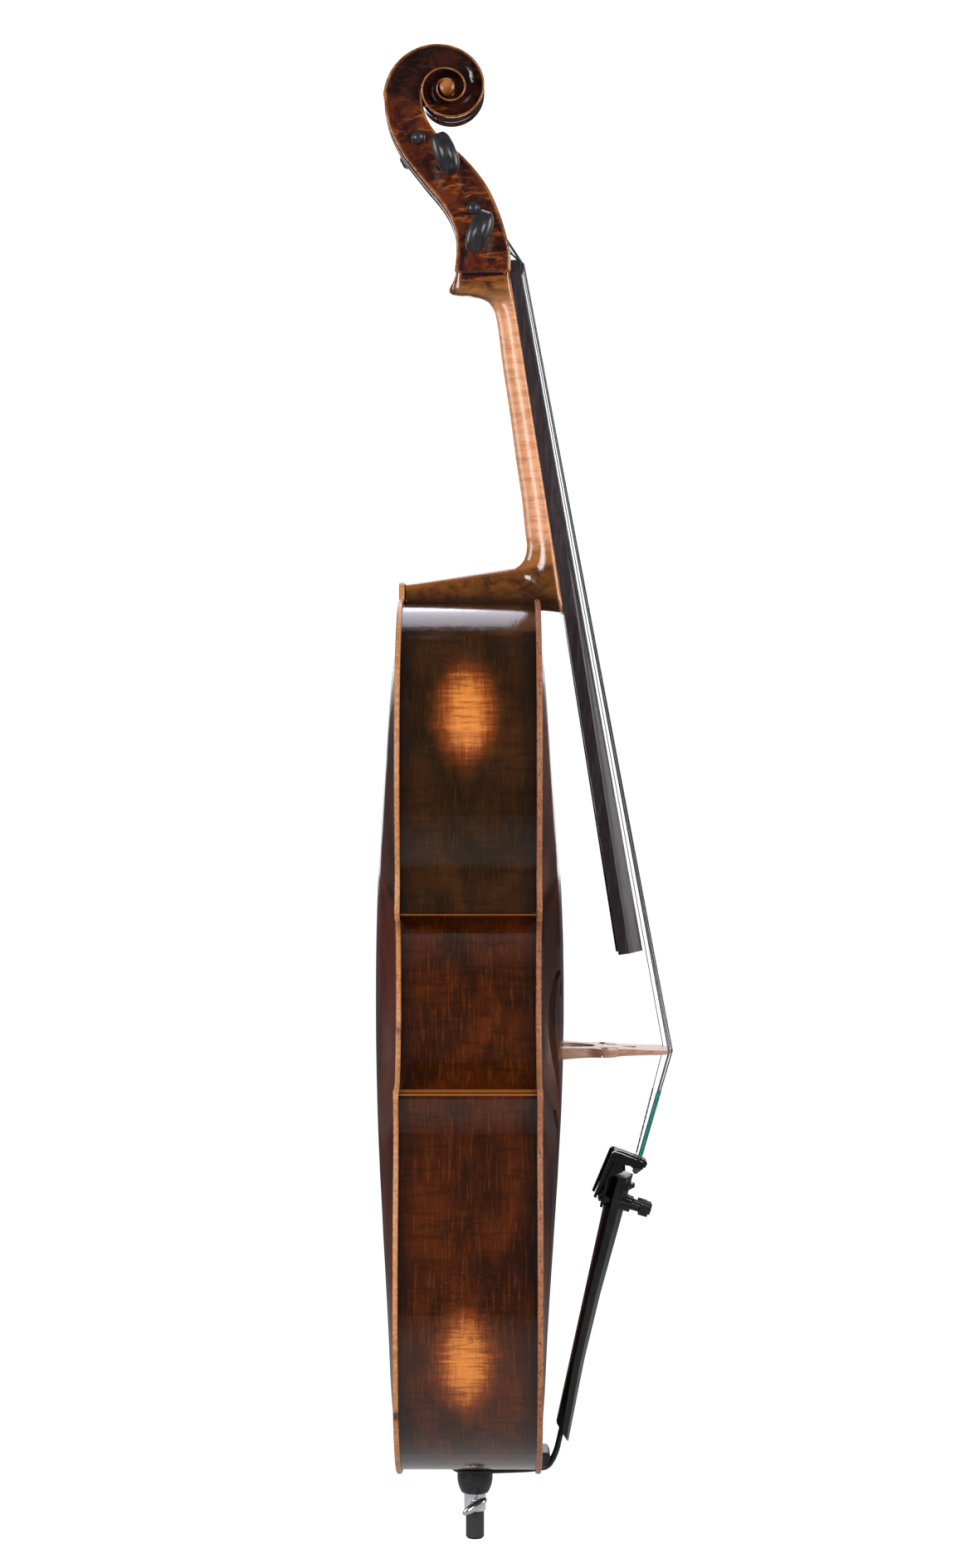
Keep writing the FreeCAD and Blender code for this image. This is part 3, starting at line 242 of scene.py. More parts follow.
def crackled(look, color, halo):
    """Fine cracks and chips in the varnish above the lower patch."""
    around = look.blob(CRACKLE, halo, 1.4, 0.3)
    crack = look.calc("MULTIPLY", look.ease(look.cell_edges(640.0), 0.07, 0.015), around)
    color = look.mix(look.calc("MULTIPLY", crack, 0.60), color, (0.006, 0.003, 0.002))
    chips = look.calc("MULTIPLY", look.ease(look.noise(1100.0, 2.0, 0.6), 0.66, 0.72), around)
    return look.mix(look.calc("MULTIPLY", chips, 0.6), color, (0.42, 0.16, 0.05))


def corner_joints(look, color):
    """Pale lines where the ribs meet at the corners."""
    joint = 0.0
    for height, width in ((UPPER_CORNER_Z, 0.0006), (LOWER_CORNER_Z, 0.0011)):
        near = look.calc("ABSOLUTE", look.calc("SUBTRACT", look.z, height))
        joint = look.calc("MAXIMUM", joint, look.ease(near, width, width * 0.5))
    return look.mix(look.calc("MULTIPLY", joint, 0.80), color, (0.60, 0.20, 0.045))


def rib_look(name, dark, warm, gold, seed):
    """Old translucent varnish over flamed maple, worn and crackled in places, with painted shade along both
    edges.
    """
    look = Look(name)
    clouds = look.noise((9.0 + seed, 26.0, 17.0), 5.0, 0.62, 0.6)
    flame = look.noise((12.0, 34.0, 190.0 + 9.0 * seed), 4.0, 0.6, 0.35)
    grain = look.noise((40.0, 620.0, 42.0), 3.0, 0.6)
    speck = look.noise(900.0, 2.0, 0.7)
    color = look.mix(look.ease(clouds, 0.28, 0.76), dark, warm)
    color = look.mix(look.calc("MULTIPLY", look.ease(grain, 0.50, 0.72), 0.34), color, gold)
    color = look.mix(look.calc("MULTIPLY", look.ease(flame, 0.46, 0.66), 0.50), color, dark)
    color = look.mix(look.calc("MULTIPLY", look.ease(speck, 0.62, 0.76), 0.26), color, gold)
    # Painted shade: both edges of the rib, under the overhanging plates, are painted near black.
    border = look.calc("ABSOLUTE", look.calc("SUBTRACT", look.y, RIB_MIDDLE))
    darkening = look.calc("MULTIPLY", look.ease(border, 0.038, 0.055), 0.66)
    color = look.mix(darkening, color, (0.008, 0.004, 0.003))
    halo = look.noise(60.0, 4.0, 0.6)
    color, bare = worn_through(look, color, grain, halo)
    color = corner_joints(look, crackled(look, color, halo))
    dents = look.noise((60.0, 130.0, 90.0), 5.0, 0.6)
    height = look.calc("ADD", look.calc("MULTIPLY", dents, 0.5), look.calc("MULTIPLY", grain, 0.16))
    rough = look.calc("ADD", look.calc("MULTIPLY", look.noise(140.0, 4.0), 0.16), 0.05)
    rough = look.calc("ADD", rough, look.calc("MULTIPLY", bare, 0.24))
    normal = look.relief(height, 0.0014, 0.30)
    return look.finish(color, rough, normal, Coat_Weight=0.15, Coat_Roughness=0.05)


def plate_look(name, low, high, face_dark, face_warm, edge, pits):
    """Varnished plate whose rounded border is worn down to bare wood."""
    look = Look(name)
    clouds = look.noise((22.0, 22.0, 9.0), 4.0, 0.6, 0.4)
    grain = look.noise((520.0, 60.0, 12.0), 3.0, 0.6)
    color = look.mix(look.ease(clouds, 0.36, 0.66), face_dark, face_warm)
    color = look.mix(look.calc("MULTIPLY", look.ease(grain, 0.45, 0.7), 0.35), color, face_dark)
    side = look.ease(look.normal_y(), 0.965, 0.86)
    inside = look.calc("MULTIPLY", look.ease(look.y, low - 0.0007, low + 0.0001),
                       look.ease(look.y, high + 0.0007, high - 0.0001))
    border = look.calc("MULTIPLY", side, inside)
    mottle = look.noise(340.0, 4.0, 0.7)
    spots = look.ease(look.noise((420.0, 420.0, 230.0), 3.0, 0.7), 0.57, 0.66)
    wood = look.mix(look.ease(mottle, 0.35, 0.65), edge, tuple(0.62 * c for c in edge))
    wood = look.mix(look.calc("MULTIPLY", spots, pits), wood, (0.075, 0.020, 0.008))
    wood = look.mix(look.ease(look.noise(26.0, 3.0), 0.60, 0.78), wood, face_warm)
    color = look.mix(border, color, wood)
    hidden = look.ease(look.calc("ABSOLUTE", look.calc("SUBTRACT", look.y, RIB_MIDDLE)), 0.0555, 0.0545)
    color = look.mix(hidden, color, (0.40, 0.24, 0.13))
    chewed = look.calc("MULTIPLY", look.noise((260.0, 260.0, 420.0), 4.0, 0.65), pits)
    height = look.calc("ADD", look.calc("MULTIPLY", chewed, border), look.calc("MULTIPLY", clouds, 0.25))
    rough = look.calc("ADD", look.calc("MULTIPLY", border, 0.20), 0.20)
    rough = look.calc("ADD", rough, look.calc("MULTIPLY", look.noise(90.0), 0.10))
    normal = look.relief(height, 0.0022, 0.55)
    return look.finish(color, rough, normal, Coat_Weight=0.15, Coat_Roughness=0.12)


def neck_varnish(look, clouds):
    """Brown varnish of heel, chin, pegbox and head; the head and the heel are darker than the pegbox, and
    the heel's lower part is painted shade.
    """
    band = look.noise((20.0, 60.0, 230.0), 4.0, 0.6, 0.8)
    varnish = look.mix(look.ease(clouds, 0.38, 0.62), (0.030, 0.007, 0.006), (0.155, 0.030, 0.010))
    bands = look.calc("MULTIPLY", look.ease(band, 0.52, 0.68), 0.75)
    varnish = look.mix(bands, varnish, (0.46, 0.125, 0.020))
    border = look.calc("MULTIPLY", look.calc("SUBTRACT", clouds, 0.5), 0.030)
    head = look.calc("ADD", look.calc("SUBTRACT", look.z, look.calc("MULTIPLY", look.y, 0.25)), border)
    head = look.ease(head, 1.224, 1.234)
    varnish = look.mix(look.calc("MULTIPLY", head, 0.90), varnish,
                       look.mix(look.ease(clouds, 0.44, 0.72), (0.008, 0.003, 0.003), (0.050, 0.012, 0.007)))
    heel = look.ease(look.z, 0.905, 0.842)
    heel_brown = look.mix(look.ease(clouds, 0.34, 0.64), (0.060, 0.020, 0.006), (0.230, 0.076, 0.014))
    # Painted shade: the heel's lower part, where it rounds under towards the body, is painted near black.
    heel_brown = look.mix(look.ease(look.z, 0.826, 0.808), heel_brown, (0.022, 0.008, 0.004))
    heel_top = look.calc("ADD", look.z, look.calc("MULTIPLY", look.y, 0.159))
    heel_brown = look.mix(look.calc("MULTIPLY", look.ease(heel_top, 0.8295, 0.8355), 0.75), heel_brown,
                          (0.50, 0.190, 0.050))
    varnish = look.mix(heel, varnish, heel_brown)
    chin = look.calc("MULTIPLY", look.ease(look.z, 1.062, 1.072), look.ease(look.z, 1.092, 1.078))
    chin_brown = look.mix(look.ease(clouds, 0.36, 0.62), (0.120, 0.040, 0.012), (0.46, 0.185, 0.050))
    return look.mix(look.calc("MULTIPLY", chin, 0.80), varnish, chin_brown)


def neck_look():
    """Pale oiled neck between varnished heel, chin and head, with worn light edges."""
    look = Look("carved_neck")
    flame = look.noise((26.0, 46.0, 210.0), 4.0, 0.62, 0.5)
    grain = look.noise((500.0, 500.0, 36.0), 3.0, 0.6)
    pale = look.mix(look.ease(flame, 0.42, 0.66), (0.98, 0.46, 0.230), (0.72, 0.285, 0.120))
    pale = look.mix(look.calc("MULTIPLY", look.ease(grain, 0.46, 0.72), 0.28), pale, (0.50, 0.19, 0.065))
    clouds = look.noise((38.0, 46.0, 60.0), 5.0, 0.66, 0.8)
    varnish = neck_varnish(look, clouds)
    shade = look.calc("ADD", look.calc("MULTIPLY", look.calc("SUBTRACT", clouds, 0.5), 0.030), look.z)
    bare = look.calc("MULTIPLY", look.ease(shade, 0.846, 0.878), look.ease(shade, 1.081, 1.058))
    below_nut = look.calc("SUBTRACT", NUT_Z / 1000.0, look.z)
    strip = look.calc("ADD", look.y, look.calc("MULTIPLY", below_nut, BOARD_SLOPE))
    strip = look.calc("MULTIPLY", look.ease(strip, -0.0259, -0.0279), look.ease(look.z, 1.092, 1.082))
    bare = look.calc("MAXIMUM", bare, look.calc("MULTIPLY", strip, 0.75))
    color = look.mix(bare, varnish, pale)
    # Dark line just below the pegbox's overhanging shoulders: partly painted shadow of the shoulders, partly
    # dirt in the step.
    shoulder_shadow_and_dirt = look.ease(look.calc("ABSOLUTE", look.calc("SUBTRACT", look.z, 1.0934)), 0.0018, 0.0006)
    color = look.mix(shoulder_shadow_and_dirt, color, (0.010, 0.004, 0.003))
    tan = look.mix(look.ease(look.noise(120.0, 4.0), 0.35, 0.65), (0.52, 0.190, 0.055), (0.26, 0.070, 0.018))
    worn = look.calc("MULTIPLY", look.attribute("wear"), look.ease(look.noise(95.0, 4.0, 0.6), 0.18, 0.42))
    color = look.mix(worn, color, tan)
    dents = look.noise(150.0, 4.0, 0.62)
    rough = look.calc("ADD", look.calc("MULTIPLY", bare, 0.22), 0.07)
    rough = look.calc("ADD", rough, look.calc("MULTIPLY", look.noise(160.0), 0.10))
    normal = look.relief(dents, 0.0010, 0.20)
    return look.finish(color, rough, normal, Coat_Weight=0.2, Coat_Roughness=0.06)


def satin_look(name, color, light, rough, grain_scale=(300.0, 300.0, 30.0), bump=0.15, **settings):
    """Dark satin wood or plastic with faint streaks."""
    look = Look(name)
    streak = look.noise(grain_scale, 4.0, 0.65)
    tone = look.mix(look.ease(streak, 0.42, 0.72), color, light)
    uneven = look.calc("ADD", look.calc("MULTIPLY", look.noise(120.0), 0.16), rough - 0.08)
    return look.finish(tone, uneven, look.relief(streak, 0.0006, bump), **settings)


def bridge_look():
    look = Look("bridge_wood")
    fleck = look.noise((150.0, 90.0, 700.0), 3.0, 0.6)
    tone = look.mix(look.ease(fleck, 0.42, 0.66), (0.60, 0.34, 0.25), (0.46, 0.22, 0.15))
    geometry = look.node("ShaderNodeNewGeometry")
    up = look.calc("ABSOLUTE", look.split(geometry.outputs["Normal"])[2])
    tone = look.mix(look.calc("MULTIPLY", look.ease(up, 0.9, 0.97), 0.55), tone, (0.76, 0.50, 0.38))
    # Darker towards the feet.
    darkening = look.ease(look.y, -0.090, -0.074)
    tone = look.mix(look.calc("MULTIPLY", darkening, 0.5), tone, (0.20, 0.09, 0.06))
    return look.finish(tone, 0.42, look.relief(fleck, 0.0004, 0.3))


def string_look(name, color, pitch, metal):
    """Wound string: fine ridges round it, with painted shade in the grooves between them."""
    look = Look(name)
    wave = look.calc("SINE", look.calc("MULTIPLY", look.z, 2.0 * math.pi / pitch))
    # Painted shade: the grooves between the windings are painted darker.
    tone = look.mix(look.ease(wave, -0.9, 0.9), tuple(0.6 * c for c in color), color)
    return look.finish(tone, 0.32, look.relief(wave, 0.00006, 0.5), Metallic=metal)


SILK_PITCH = 0.0009


def silk_look(name, color, fleck):
    look = Look(name)
    wave = look.calc("SINE", look.calc("MULTIPLY", look.z, 2.0 * math.pi / SILK_PITCH))
    speck = look.ease(look.noise((300.0, 300.0, 700.0), 2.0, 0.6), 0.50, 0.58)
    tone = look.mix(speck, color, fleck)
    return look.finish(tone, 0.6, look.relief(wave, 0.0001, 0.6), Sheen_Weight=0.3)


def metal_look(name, color, rough):
    look = Look(name)
    swirl = look.noise((400.0, 400.0, 60.0), 3.0, 0.6)
    uneven = look.calc("ADD", look.calc("MULTIPLY", swirl, 0.12), rough)
    return look.finish(look.mix(swirl, color, tuple(0.85 * c for c in color)), uneven, Metallic=1.0)


def rubber_look():
    look = Look("tip_rubber")
    grit = look.noise(1400.0, 3.0, 0.7)
    tone = look.mix(look.ease(grit, 0.4, 0.7), (0.018, 0.018, 0.021), (0.045, 0.045, 0.050))
    return look.finish(tone, 0.55, look.relief(grit, 0.0002, 0.5))


def bare_wood_look(name, light, dark):
    look = Look(name)
    grain = look.noise((420.0, 90.0, 20.0), 3.0, 0.6)
    tone = look.mix(look.ease(grain, 0.4, 0.65), light, dark)
    return look.finish(tone, 0.6, look.relief(grain, 0.0005, 0.3))


LOOKS = {
    "rib_upper": rib_look("varnish_upper_rib", (0.018, 0.007, 0.002), (0.064, 0.021, 0.005),
                          (0.12, 0.050, 0.009), 1),
    "rib_c": rib_look("varnish_waist_rib", (0.024, 0.006, 0.002), (0.128, 0.024, 0.004),
                      (0.31, 0.080, 0.008), 2),
    "rib_lower": rib_look("varnish_lower_rib", (0.024, 0.006, 0.002), (0.112, 0.021, 0.004),
                          (0.29, 0.073, 0.008), 3),
    "back": plate_look("varnish_back", 0.0612, 0.0648, (0.032, 0.008, 0.007), (0.105, 0.022, 0.010),
                       (0.88, 0.365, 0.135), 0.15),
    "top": plate_look("varnish_top", -0.0558, -0.0514, (0.034, 0.012, 0.009), (0.115, 0.034, 0.016),
                      (0.56, 0.200, 0.085), 0.90),
    "neck": neck_look(),
    "ebony": satin_look("ebony", (0.016, 0.012, 0.013), (0.050, 0.034, 0.034), 0.36),
    "board": satin_look("fingerboard_ebony", (0.026, 0.016, 0.019), (0.070, 0.044, 0.050), 0.34),
    "peg": satin_look("peg_ebony", (0.024, 0.024, 0.026), (0.050, 0.050, 0.053), 0.30),
    "fitting": satin_look("black_fitting", (0.010, 0.010, 0.011), (0.026, 0.026, 0.028), 0.34),
    "tuner": satin_look("tuner_black", (0.008, 0.008, 0.009), (0.016, 0.016, 0.018), 0.30, 500.0, 0.08),
    "collar": satin_look("endpin_collar", (0.022, 0.022, 0.026), (0.050, 0.050, 0.055), 0.40, 220.0, 0.1),
    "cord": satin_look("tailgut_cord", (0.008, 0.008, 0.010), (0.020, 0.020, 0.022), 0.45, 900.0, 0.4),
    "bridge": bridge_look(),
    "steel": string_look("string_winding", (0.15, 0.15, 0.16), 0.0007, 0.6),
    "silk_teal": silk_look("silk_teal", (0.010, 0.250, 0.200), (0.03, 0.42, 0.36)),
    "silk_dark": silk_look("silk_dark", (0.030, 0.045, 0.045), (0.50, 0.55, 0.52)),
    "chrome": metal_look("polished_chrome", (0.82, 0.82, 0.84), 0.10),
    "sleeve": satin_look("sleeve_chrome", (0.72, 0.72, 0.74), (0.90, 0.90, 0.92), 0.16, 200.0, 0.05,
                         Metallic=0.45),
    "rod": metal_look("rod_steel", (0.52, 0.52, 0.54), 0.24),
    "rubber": rubber_look(),
    "purfling": satin_look("purfling_inlay", (0.012, 0.007, 0.005), (0.05, 0.03, 0.02), 0.35),
    "spruce": bare_wood_look("inside_spruce", (0.62, 0.44, 0.25), (0.45, 0.29, 0.14)),
}
NODE_LOOKS = {
    "back_plate": "back", "top_plate": "top", "purfling_top": "purfling", "purfling_back": "purfling",
    "linings_top": "spruce", "linings_back": "spruce", "top_block": "spruce", "bottom_block": "spruce",
    "corner_blocks": "spruce", "bass_bar": "spruce", "sound_post": "spruce", "neck_and_scroll": "neck",
    "nut": "ebony", "fingerboard": "board", "bridge": "bridge", "saddle": "ebony", "tailpiece": "fitting",
    "tailpiece_fret": "fitting", "tuner_frames": "tuner", "tuner_collars": "tuner", "tailgut": "cord",
    "endpin_socket": "collar", "endpin_sleeve": "sleeve", "endpin_rod": "rod", "endpin_tip": "rubber",
    "thumbscrew": "chrome", "silk_a": "silk_dark", "silks_cgd": "silk_teal",
}
STRING_NODE_LOOKS = {"peg_": "peg", "string_coil_": "steel", "string_": "steel", "tuner_screw_": "tuner",
                     "tuner_lever_": "tuner", "ball_end_": "steel"}
BEVELS = {"tailpiece": 0.0008, "tailpiece_fret": 0.0005, "bridge": 0.0007, "fingerboard": 0.0006,
          "nut": 0.0006, "saddle": 0.0008, "tuner_frames": 0.0003, "endpin_tip": 0.0010}
BEVEL_ANGLE = 35.0


def dress(name, look, bevel=0.0):
    """Gives a CAD node its material, and eases its sharp edges where asked."""
    node = frame["nodes"][name]
    node.data.materials.clear()
    node.data.materials.append(LOOKS[look])
    if bevel:
        ease = node.modifiers.new("soft_edges", "BEVEL")
        ease.width = bevel
        ease.segments = 2
        ease.limit_method = "ANGLE"
        ease.angle_limit = math.radians(BEVEL_ANGLE)


def dress_frame():
    for name, look in NODE_LOOKS.items():
        dress(name, look, BEVELS.get(name, 0.0))
    for part in ("upper", "c", "lower"):
        for side in ("bass", "treble"):
            dress("rib_" + part + "_" + side, "rib_" + part)
    for string in STRINGS:
        for stem, look in STRING_NODE_LOOKS.items():
            dress(stem + string, look, 0.0003 if stem.startswith("tuner") else 0.0)


# ---------------------------------------------------------------- mesh helpers
def mesh_piece(name, points, faces, look, body, wear=None):
    mesh = bpy.data.meshes.new(name)
    mesh.from_pydata([tuple(p) for p in points], [], faces)
    mesh.validate()
    if wear is not None:
        layer = mesh.attributes.new("wear", "FLOAT", "POINT")
        layer.data.foreach_set("value", [float(w) for w in wear])
    mesh.polygons.foreach_set("use_smooth", [True] * len(mesh.polygons))
    piece = bpy.data.objects.new(name, mesh)
    bpy.context.collection.objects.link(piece)
    piece.data.materials.append(LOOKS[look])
    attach(piece, body)
    return piece


def grid_faces(rows, columns, start=0, closed=False):
    """Quads between neighbouring rows of a point grid."""
    faces = []
    for i in range(rows - 1):
        for j in range(columns if closed else columns - 1):
            k = (j + 1) % columns
            faces.append((start + i * columns + j, start + i * columns + k,
                          start + (i + 1) * columns + k, start + (i + 1) * columns + j))
    return faces


def curve_through(points, count):
    """Catmull-Rom resampling of rows of numbers."""
    rows = np.array(points, float)
    padded = np.vstack([2 * rows[0] - rows[1], rows, 2 * rows[-1] - rows[-2]])
    out = []
    for t in np.linspace(0, len(rows) - 1, count):
        i = min(int(t), len(rows) - 2)
        u = t - i
        a, b, c, d = padded[i:i + 4]
        out.append(0.5 * (2 * b + (c - a) * u + (2 * a - 5 * b + 4 * c - d) * u ** 2
                          + (3 * b - a - 3 * c + d) * u ** 3))
    return np.array(out)


# ---------------------------------------------------------------- neck, pegbox and scroll
def board_f(z):
    return BOARD_PLANE + BOARD_SLOPE * (NUT_Z - z)


def board_half(z):
    return BOARD_HALF + BOARD_HALF_SLOPE * (NUT_Z - z)


def neck_stations():
    """Rows of back point, front point, half width, squareness and depth of the peg hollow."""
    heel = [(-60.6, 827.4, -60.6, 803.2, 14.6), (-42.0, 830.0, -34.0, 803.2, 16.0),
            (-8.0, 835.3, 24.0, 803.2, 19.0), (18.0, 839.4, 58.0, 803.0, 21.6),
            (28.0, 841.0, 76.8, 802.4, 22.6),
            (35.0, 842.4, board_f(816), 816.0, 23.2)]
    rows = [row + (0.12, 0.0) for row in heel]
    back = [(42.0, 848.0, 832), (44.6, 859.0, 848), (43.2, 873.0, 866), (40.3, 902.0, 900),
            (36.0, 931.0, 931), (30.2, 974.0, 974), (23.8, 1017.0, 1017), (20.2, 1046.0, 1046),
            (18.2, 1057.5, 1055), (16.0, 1065.0, 1062), (10.0, 1072.0, 1068)]
    for f, z, edge in back:
        rows.append((f, z, board_f(edge), edge, board_half(edge), 0.0, 0.0))
    chin = [(-2.0, 1075.4, 1073, 17.0, 0.15), (-13.0, 1076.6, 1078, 17.4, 0.30),
            (-20.5, 1078.2, 1081, 17.8, 0.40), (-22.6, 1081.6, 1084, 18.0, 0.45),
            (-20.8, 1088.0, 1089, 18.2, 0.55), (-18.0, 1094.8, 1095, 18.4, 0.7)]
    for f, z, edge, half, square in chin:
        rows.append((f, z, board_f(edge), edge, half, square, 0.0))
    return rows + box_rows()


def even_curve(points, count):
    """Points evenly spaced along the smooth curve through a few given ones."""
    curve = curve_through(points, CURVE_STEPS)
    run = np.concatenate([[0.0], np.cumsum(np.hypot(*np.diff(curve, axis=0).T))])
    steps = np.linspace(0.0, run[-1], count)
    return [[float(np.interp(step, run, curve[:, i])) for i in (0, 1)] for step in steps]


def box_rows():
    """Rows of the pegbox, each from its back line to its front line."""
    rows = []
    pairs = zip(even_curve(BOX_BACK, BOX_ROWS), even_curve(BOX_FRONT, BOX_ROWS))
    for i, (back, front) in enumerate(pairs):
        share = i / (BOX_ROWS - 1)
        half = BOX_HALF[0] + (BOX_HALF[1] - BOX_HALF[0]) * share
        hollow = 1 if HOLLOW_Z[0] < front[1] < HOLLOW_Z[1] else 0
        rows.append((back[0], back[1], front[0], front[1], half, 1.0, hollow))
    return rows


def shut_front(half, length):
    """The flat front from the side to the middle."""
    shares = (0.8, 0.62, 0.5, 0.36, 0.2)
    return [(half - 1.6, length, 0.5)] + [(half * t, length, 0.0) for t in shares] + [(0.0, length, 0.0)]


def open_front(half, length):
    """The front where the pegbox is hollow: over the cheek and down to its floor."""
    inner = half - CHEEK
    return [(half - 1.6, length, 0.5), (inner + 0.8, length, 0.2), (inner, length - 1.0, 0.0),
            (inner, (length + HOLLOW_FLOOR) / 2, 0.0), (inner, HOLLOW_FLOOR + 2.0, 0.0),
            (inner * 0.8, HOLLOW_FLOOR, 0.0), (0.0, HOLLOW_FLOOR, 0.0)]


def boxy_side(half, length, hollow):
    """Half outline of the pegbox: side distance, distance from the back, and wear."""
    side = [(x * half, 1.5 * math.sin(math.pi * min(1.0, x / BEAD_START)) ** 1.4, 0.0) for x in BACK_SHARES]
    side += [(half - 0.35, 0.25, 1.0), (half, BOX_EDGE, 1.0)]
    flank = length - 2 * BOX_EDGE
    side += [(half, BOX_EDGE + flank * t, 0.0) for t in (0.06, 0.22, 0.4, 0.58, 0.76, 0.94)]
    side += [(half, length - BOX_EDGE, 1.0), (half - 0.7, length - 0.2, 1.0)]
    return side + (open_front(half, length) if hollow > 0.5 else shut_front(half, length))


def round_side(half, length):
    """Half outline of the neck: a slightly squared half oval, then the flat front."""
    power = 2.0 / 2.25
    side = []
    for i in range(ROUND_POINTS):
        angle = 0.5 * math.pi * i / (ROUND_POINTS - 1)
        side.append((half * math.sin(angle) ** power, length * (1.0 - math.cos(angle) ** power), 0.0))
    return side + shut_front(half, length)


def neck_section(row):
    """Half section from the back's middle round the side to the front's middle, with wear."""
    back_f, back_z, front_f, front_z, half, square, hollow = row
    length = math.hypot(front_f - back_f, front_z - back_z)
    section = []
    for a, b in zip(round_side(half, length), boxy_side(half, length, hollow)):
        x = a[0] + (b[0] - a[0]) * square
        s = (a[1] + (b[1] - a[1]) * square) / length
        section.append((x, back_f + (front_f - back_f) * s, back_z + (front_z - back_z) * s, b[2] * square))
    return section


def neck_piece_data():
    rows = neck_stations()
    plain = [i for i, row in enumerate(rows) if row[5] < 1.0]
    soft = curve_through([rows[i] for i in plain], NECK_ROWS)
    box = [row for row in rows if row[5] >= 1.0]
    points = []
    wear = []
    rings = 0
    for block in (soft, box):
        for row in block:
            half = neck_section(row)
            mirrored = [(-x, f, z, w) for x, f, z, w in reversed(half[1:-1])]
            for x, f, z, w in half + mirrored:
                points.append(place(x, f, z))
                wear.append(w)
            rings += 1
    size = len(points) // rings
    faces = grid_faces(rings, size, 0, True)
    faces.append(tuple(range(size)))
    return points, faces, wear


def along(table, turn):
    return float(np.interp(turn, [t for t, _ in table], [v for _, v in table]))


RIM_CURVE = curve_through([((i - 1) / 4.0, radius) for i, radius in enumerate(RIM_QUARTERS)], RIM_STEPS)


def rim_radius(turn):
    return float(np.interp(turn, RIM_CURVE[:, 0], RIM_CURVE[:, 1]))


def volute_row(turn):
    """Radius, half width and wear across one turn: outer face, rim, then the carved flute inward."""
    radius = rim_radius(turn)
    half = along(VOLUTE_HALF, turn)
    depth = along(FLUTE_DEPTH, turn)
    inner = rim_radius(turn + 1.0) if turn < 1.4 else EYE_R
    row = []
    low = 0.0
    if turn > 0.9:
        floor = along(VOLUTE_HALF, turn - 1.0) - along(FLUTE_DEPTH, turn - 1.0)
        low = (floor - 1.5) * min(1.0, (turn - 0.9) / 0.08)
    groove = 2.0 * (1.0 - min(1.0, max(0.0, (turn - 0.85) / 0.1)))
    for t in BACK_SHARES:
        dip = groove * math.sin(math.pi * min(1.0, t / BEAD_START)) ** 1.4
        row.append((radius - dip, low + (half - low) * t, 0.0))
    row.append((radius, half - 0.7, 1.0))
    row.append((radius - 0.6, half, 1.0))
    row.append((radius - RIM_FACE, half, 1.0))
    edge = radius - RIM_FACE - 0.4
    for t in (0.0, 0.07, 0.16, 0.30, 0.46, 0.64, 0.82, 1.0):
        sink = depth * (1.0 - (1.0 - t) ** 2.6)
        row.append((edge + (inner - 0.3 - edge) * t, half - 0.25 - sink, 0.35 if t == 0.0 else 0.0))
    return row


def volute_point(x, radius, angle):
    """Position at a radius and angle about the eye."""
    return place(x, EYE_F + radius * math.cos(angle), EYE_Z + radius * math.sin(angle))


def volute_piece_data():
    points = []
    wear = []
    faces = []
    turns = np.linspace(-0.012, 2.34, VOLUTE_ROWS)
    for side in (-1, 1):
        start = len(points)
        for turn in turns:
            angle = math.pi - 2.0 * math.pi * turn
            for radius, x, w in volute_row(turn):
                points.append(volute_point(side * x, radius, angle))
                wear.append(w)
        columns = (len(points) - start) // len(turns)
        faces += grid_faces(len(turns), columns, start)
        start = len(points)
        eye = ((EYE_R, 18.0), (EYE_R, EYE_X - 1.6), (EYE_R - 0.4, EYE_X - 0.8), (EYE_R - 1.2, EYE_X - 0.2),
               (EYE_R * 0.6, EYE_X), (0.02, EYE_X + 0.1))
        for radius, x in eye:
            for k in range(EYE_RING):
                angle = 2.0 * math.pi * k / EYE_RING
                points.append(volute_point(side * x, radius, angle))
                wear.append(1.0)
        faces += grid_faces(len(eye), EYE_RING, start, True)
    return points, faces, wear


def carve_neck():
    points, faces, wear = neck_piece_data()
    more, extra, more_wear = volute_piece_data()
    faces += [tuple(len(points) + i for i in face) for face in extra]
    piece = mesh_piece("carved_neck_and_scroll", points + more, faces, "neck", "body",
                       wear + more_wear)
    bpy.context.view_layer.objects.active = piece
    piece.select_set(True)
    bpy.ops.object.mode_set(mode="EDIT")
    bpy.ops.mesh.select_all(action="SELECT")
    bpy.ops.mesh.normals_make_consistent(inside=False)
    bpy.ops.object.mode_set(mode="OBJECT")
    piece.select_set(False)
    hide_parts("neck_and_scroll")


# ---------------------------------------------------------------- pegs
PEG_SIDE = {"c": -1, "g": -1, "d": 1, "a": 1}
PEG_TILT = {"c": 20.0, "g": -20.0, "d": 62.0, "a": 35.0}
# along the peg: distance from the middle plane, half width, half thickness
PEG_ROUND = ((-24.6, 0.3), (-24.4, 2.2), (-23.6, 4.4), (-22.4, 5.6), (-21.6, 5.97), (0.0, 6.4),
             (26.6, 6.93), (26.8, 7.6), (27.2, 8.3), (28.2, 8.6), (29.2, 8.3), (29.8, 7.4),
             (30.6, 6.4), (33.0, 5.6), (36.0, 5.2))
PEG_HEAD = ((38.5, 5.6, 5.0), (41.0, 8.0, 5.4), (44.0, 12.2, 6.4), (48.0, 16.8, 8.4), (52.5, 19.2, 9.5),
            (57.0, 19.8, 9.8), (62.0, 19.0, 9.5), (66.5, 16.0, 8.4), (69.8, 11.4, 6.6), (71.8, 6.0, 4.0),
            (72.4, 2.5, 1.8), (72.5, 0.2, 0.2))


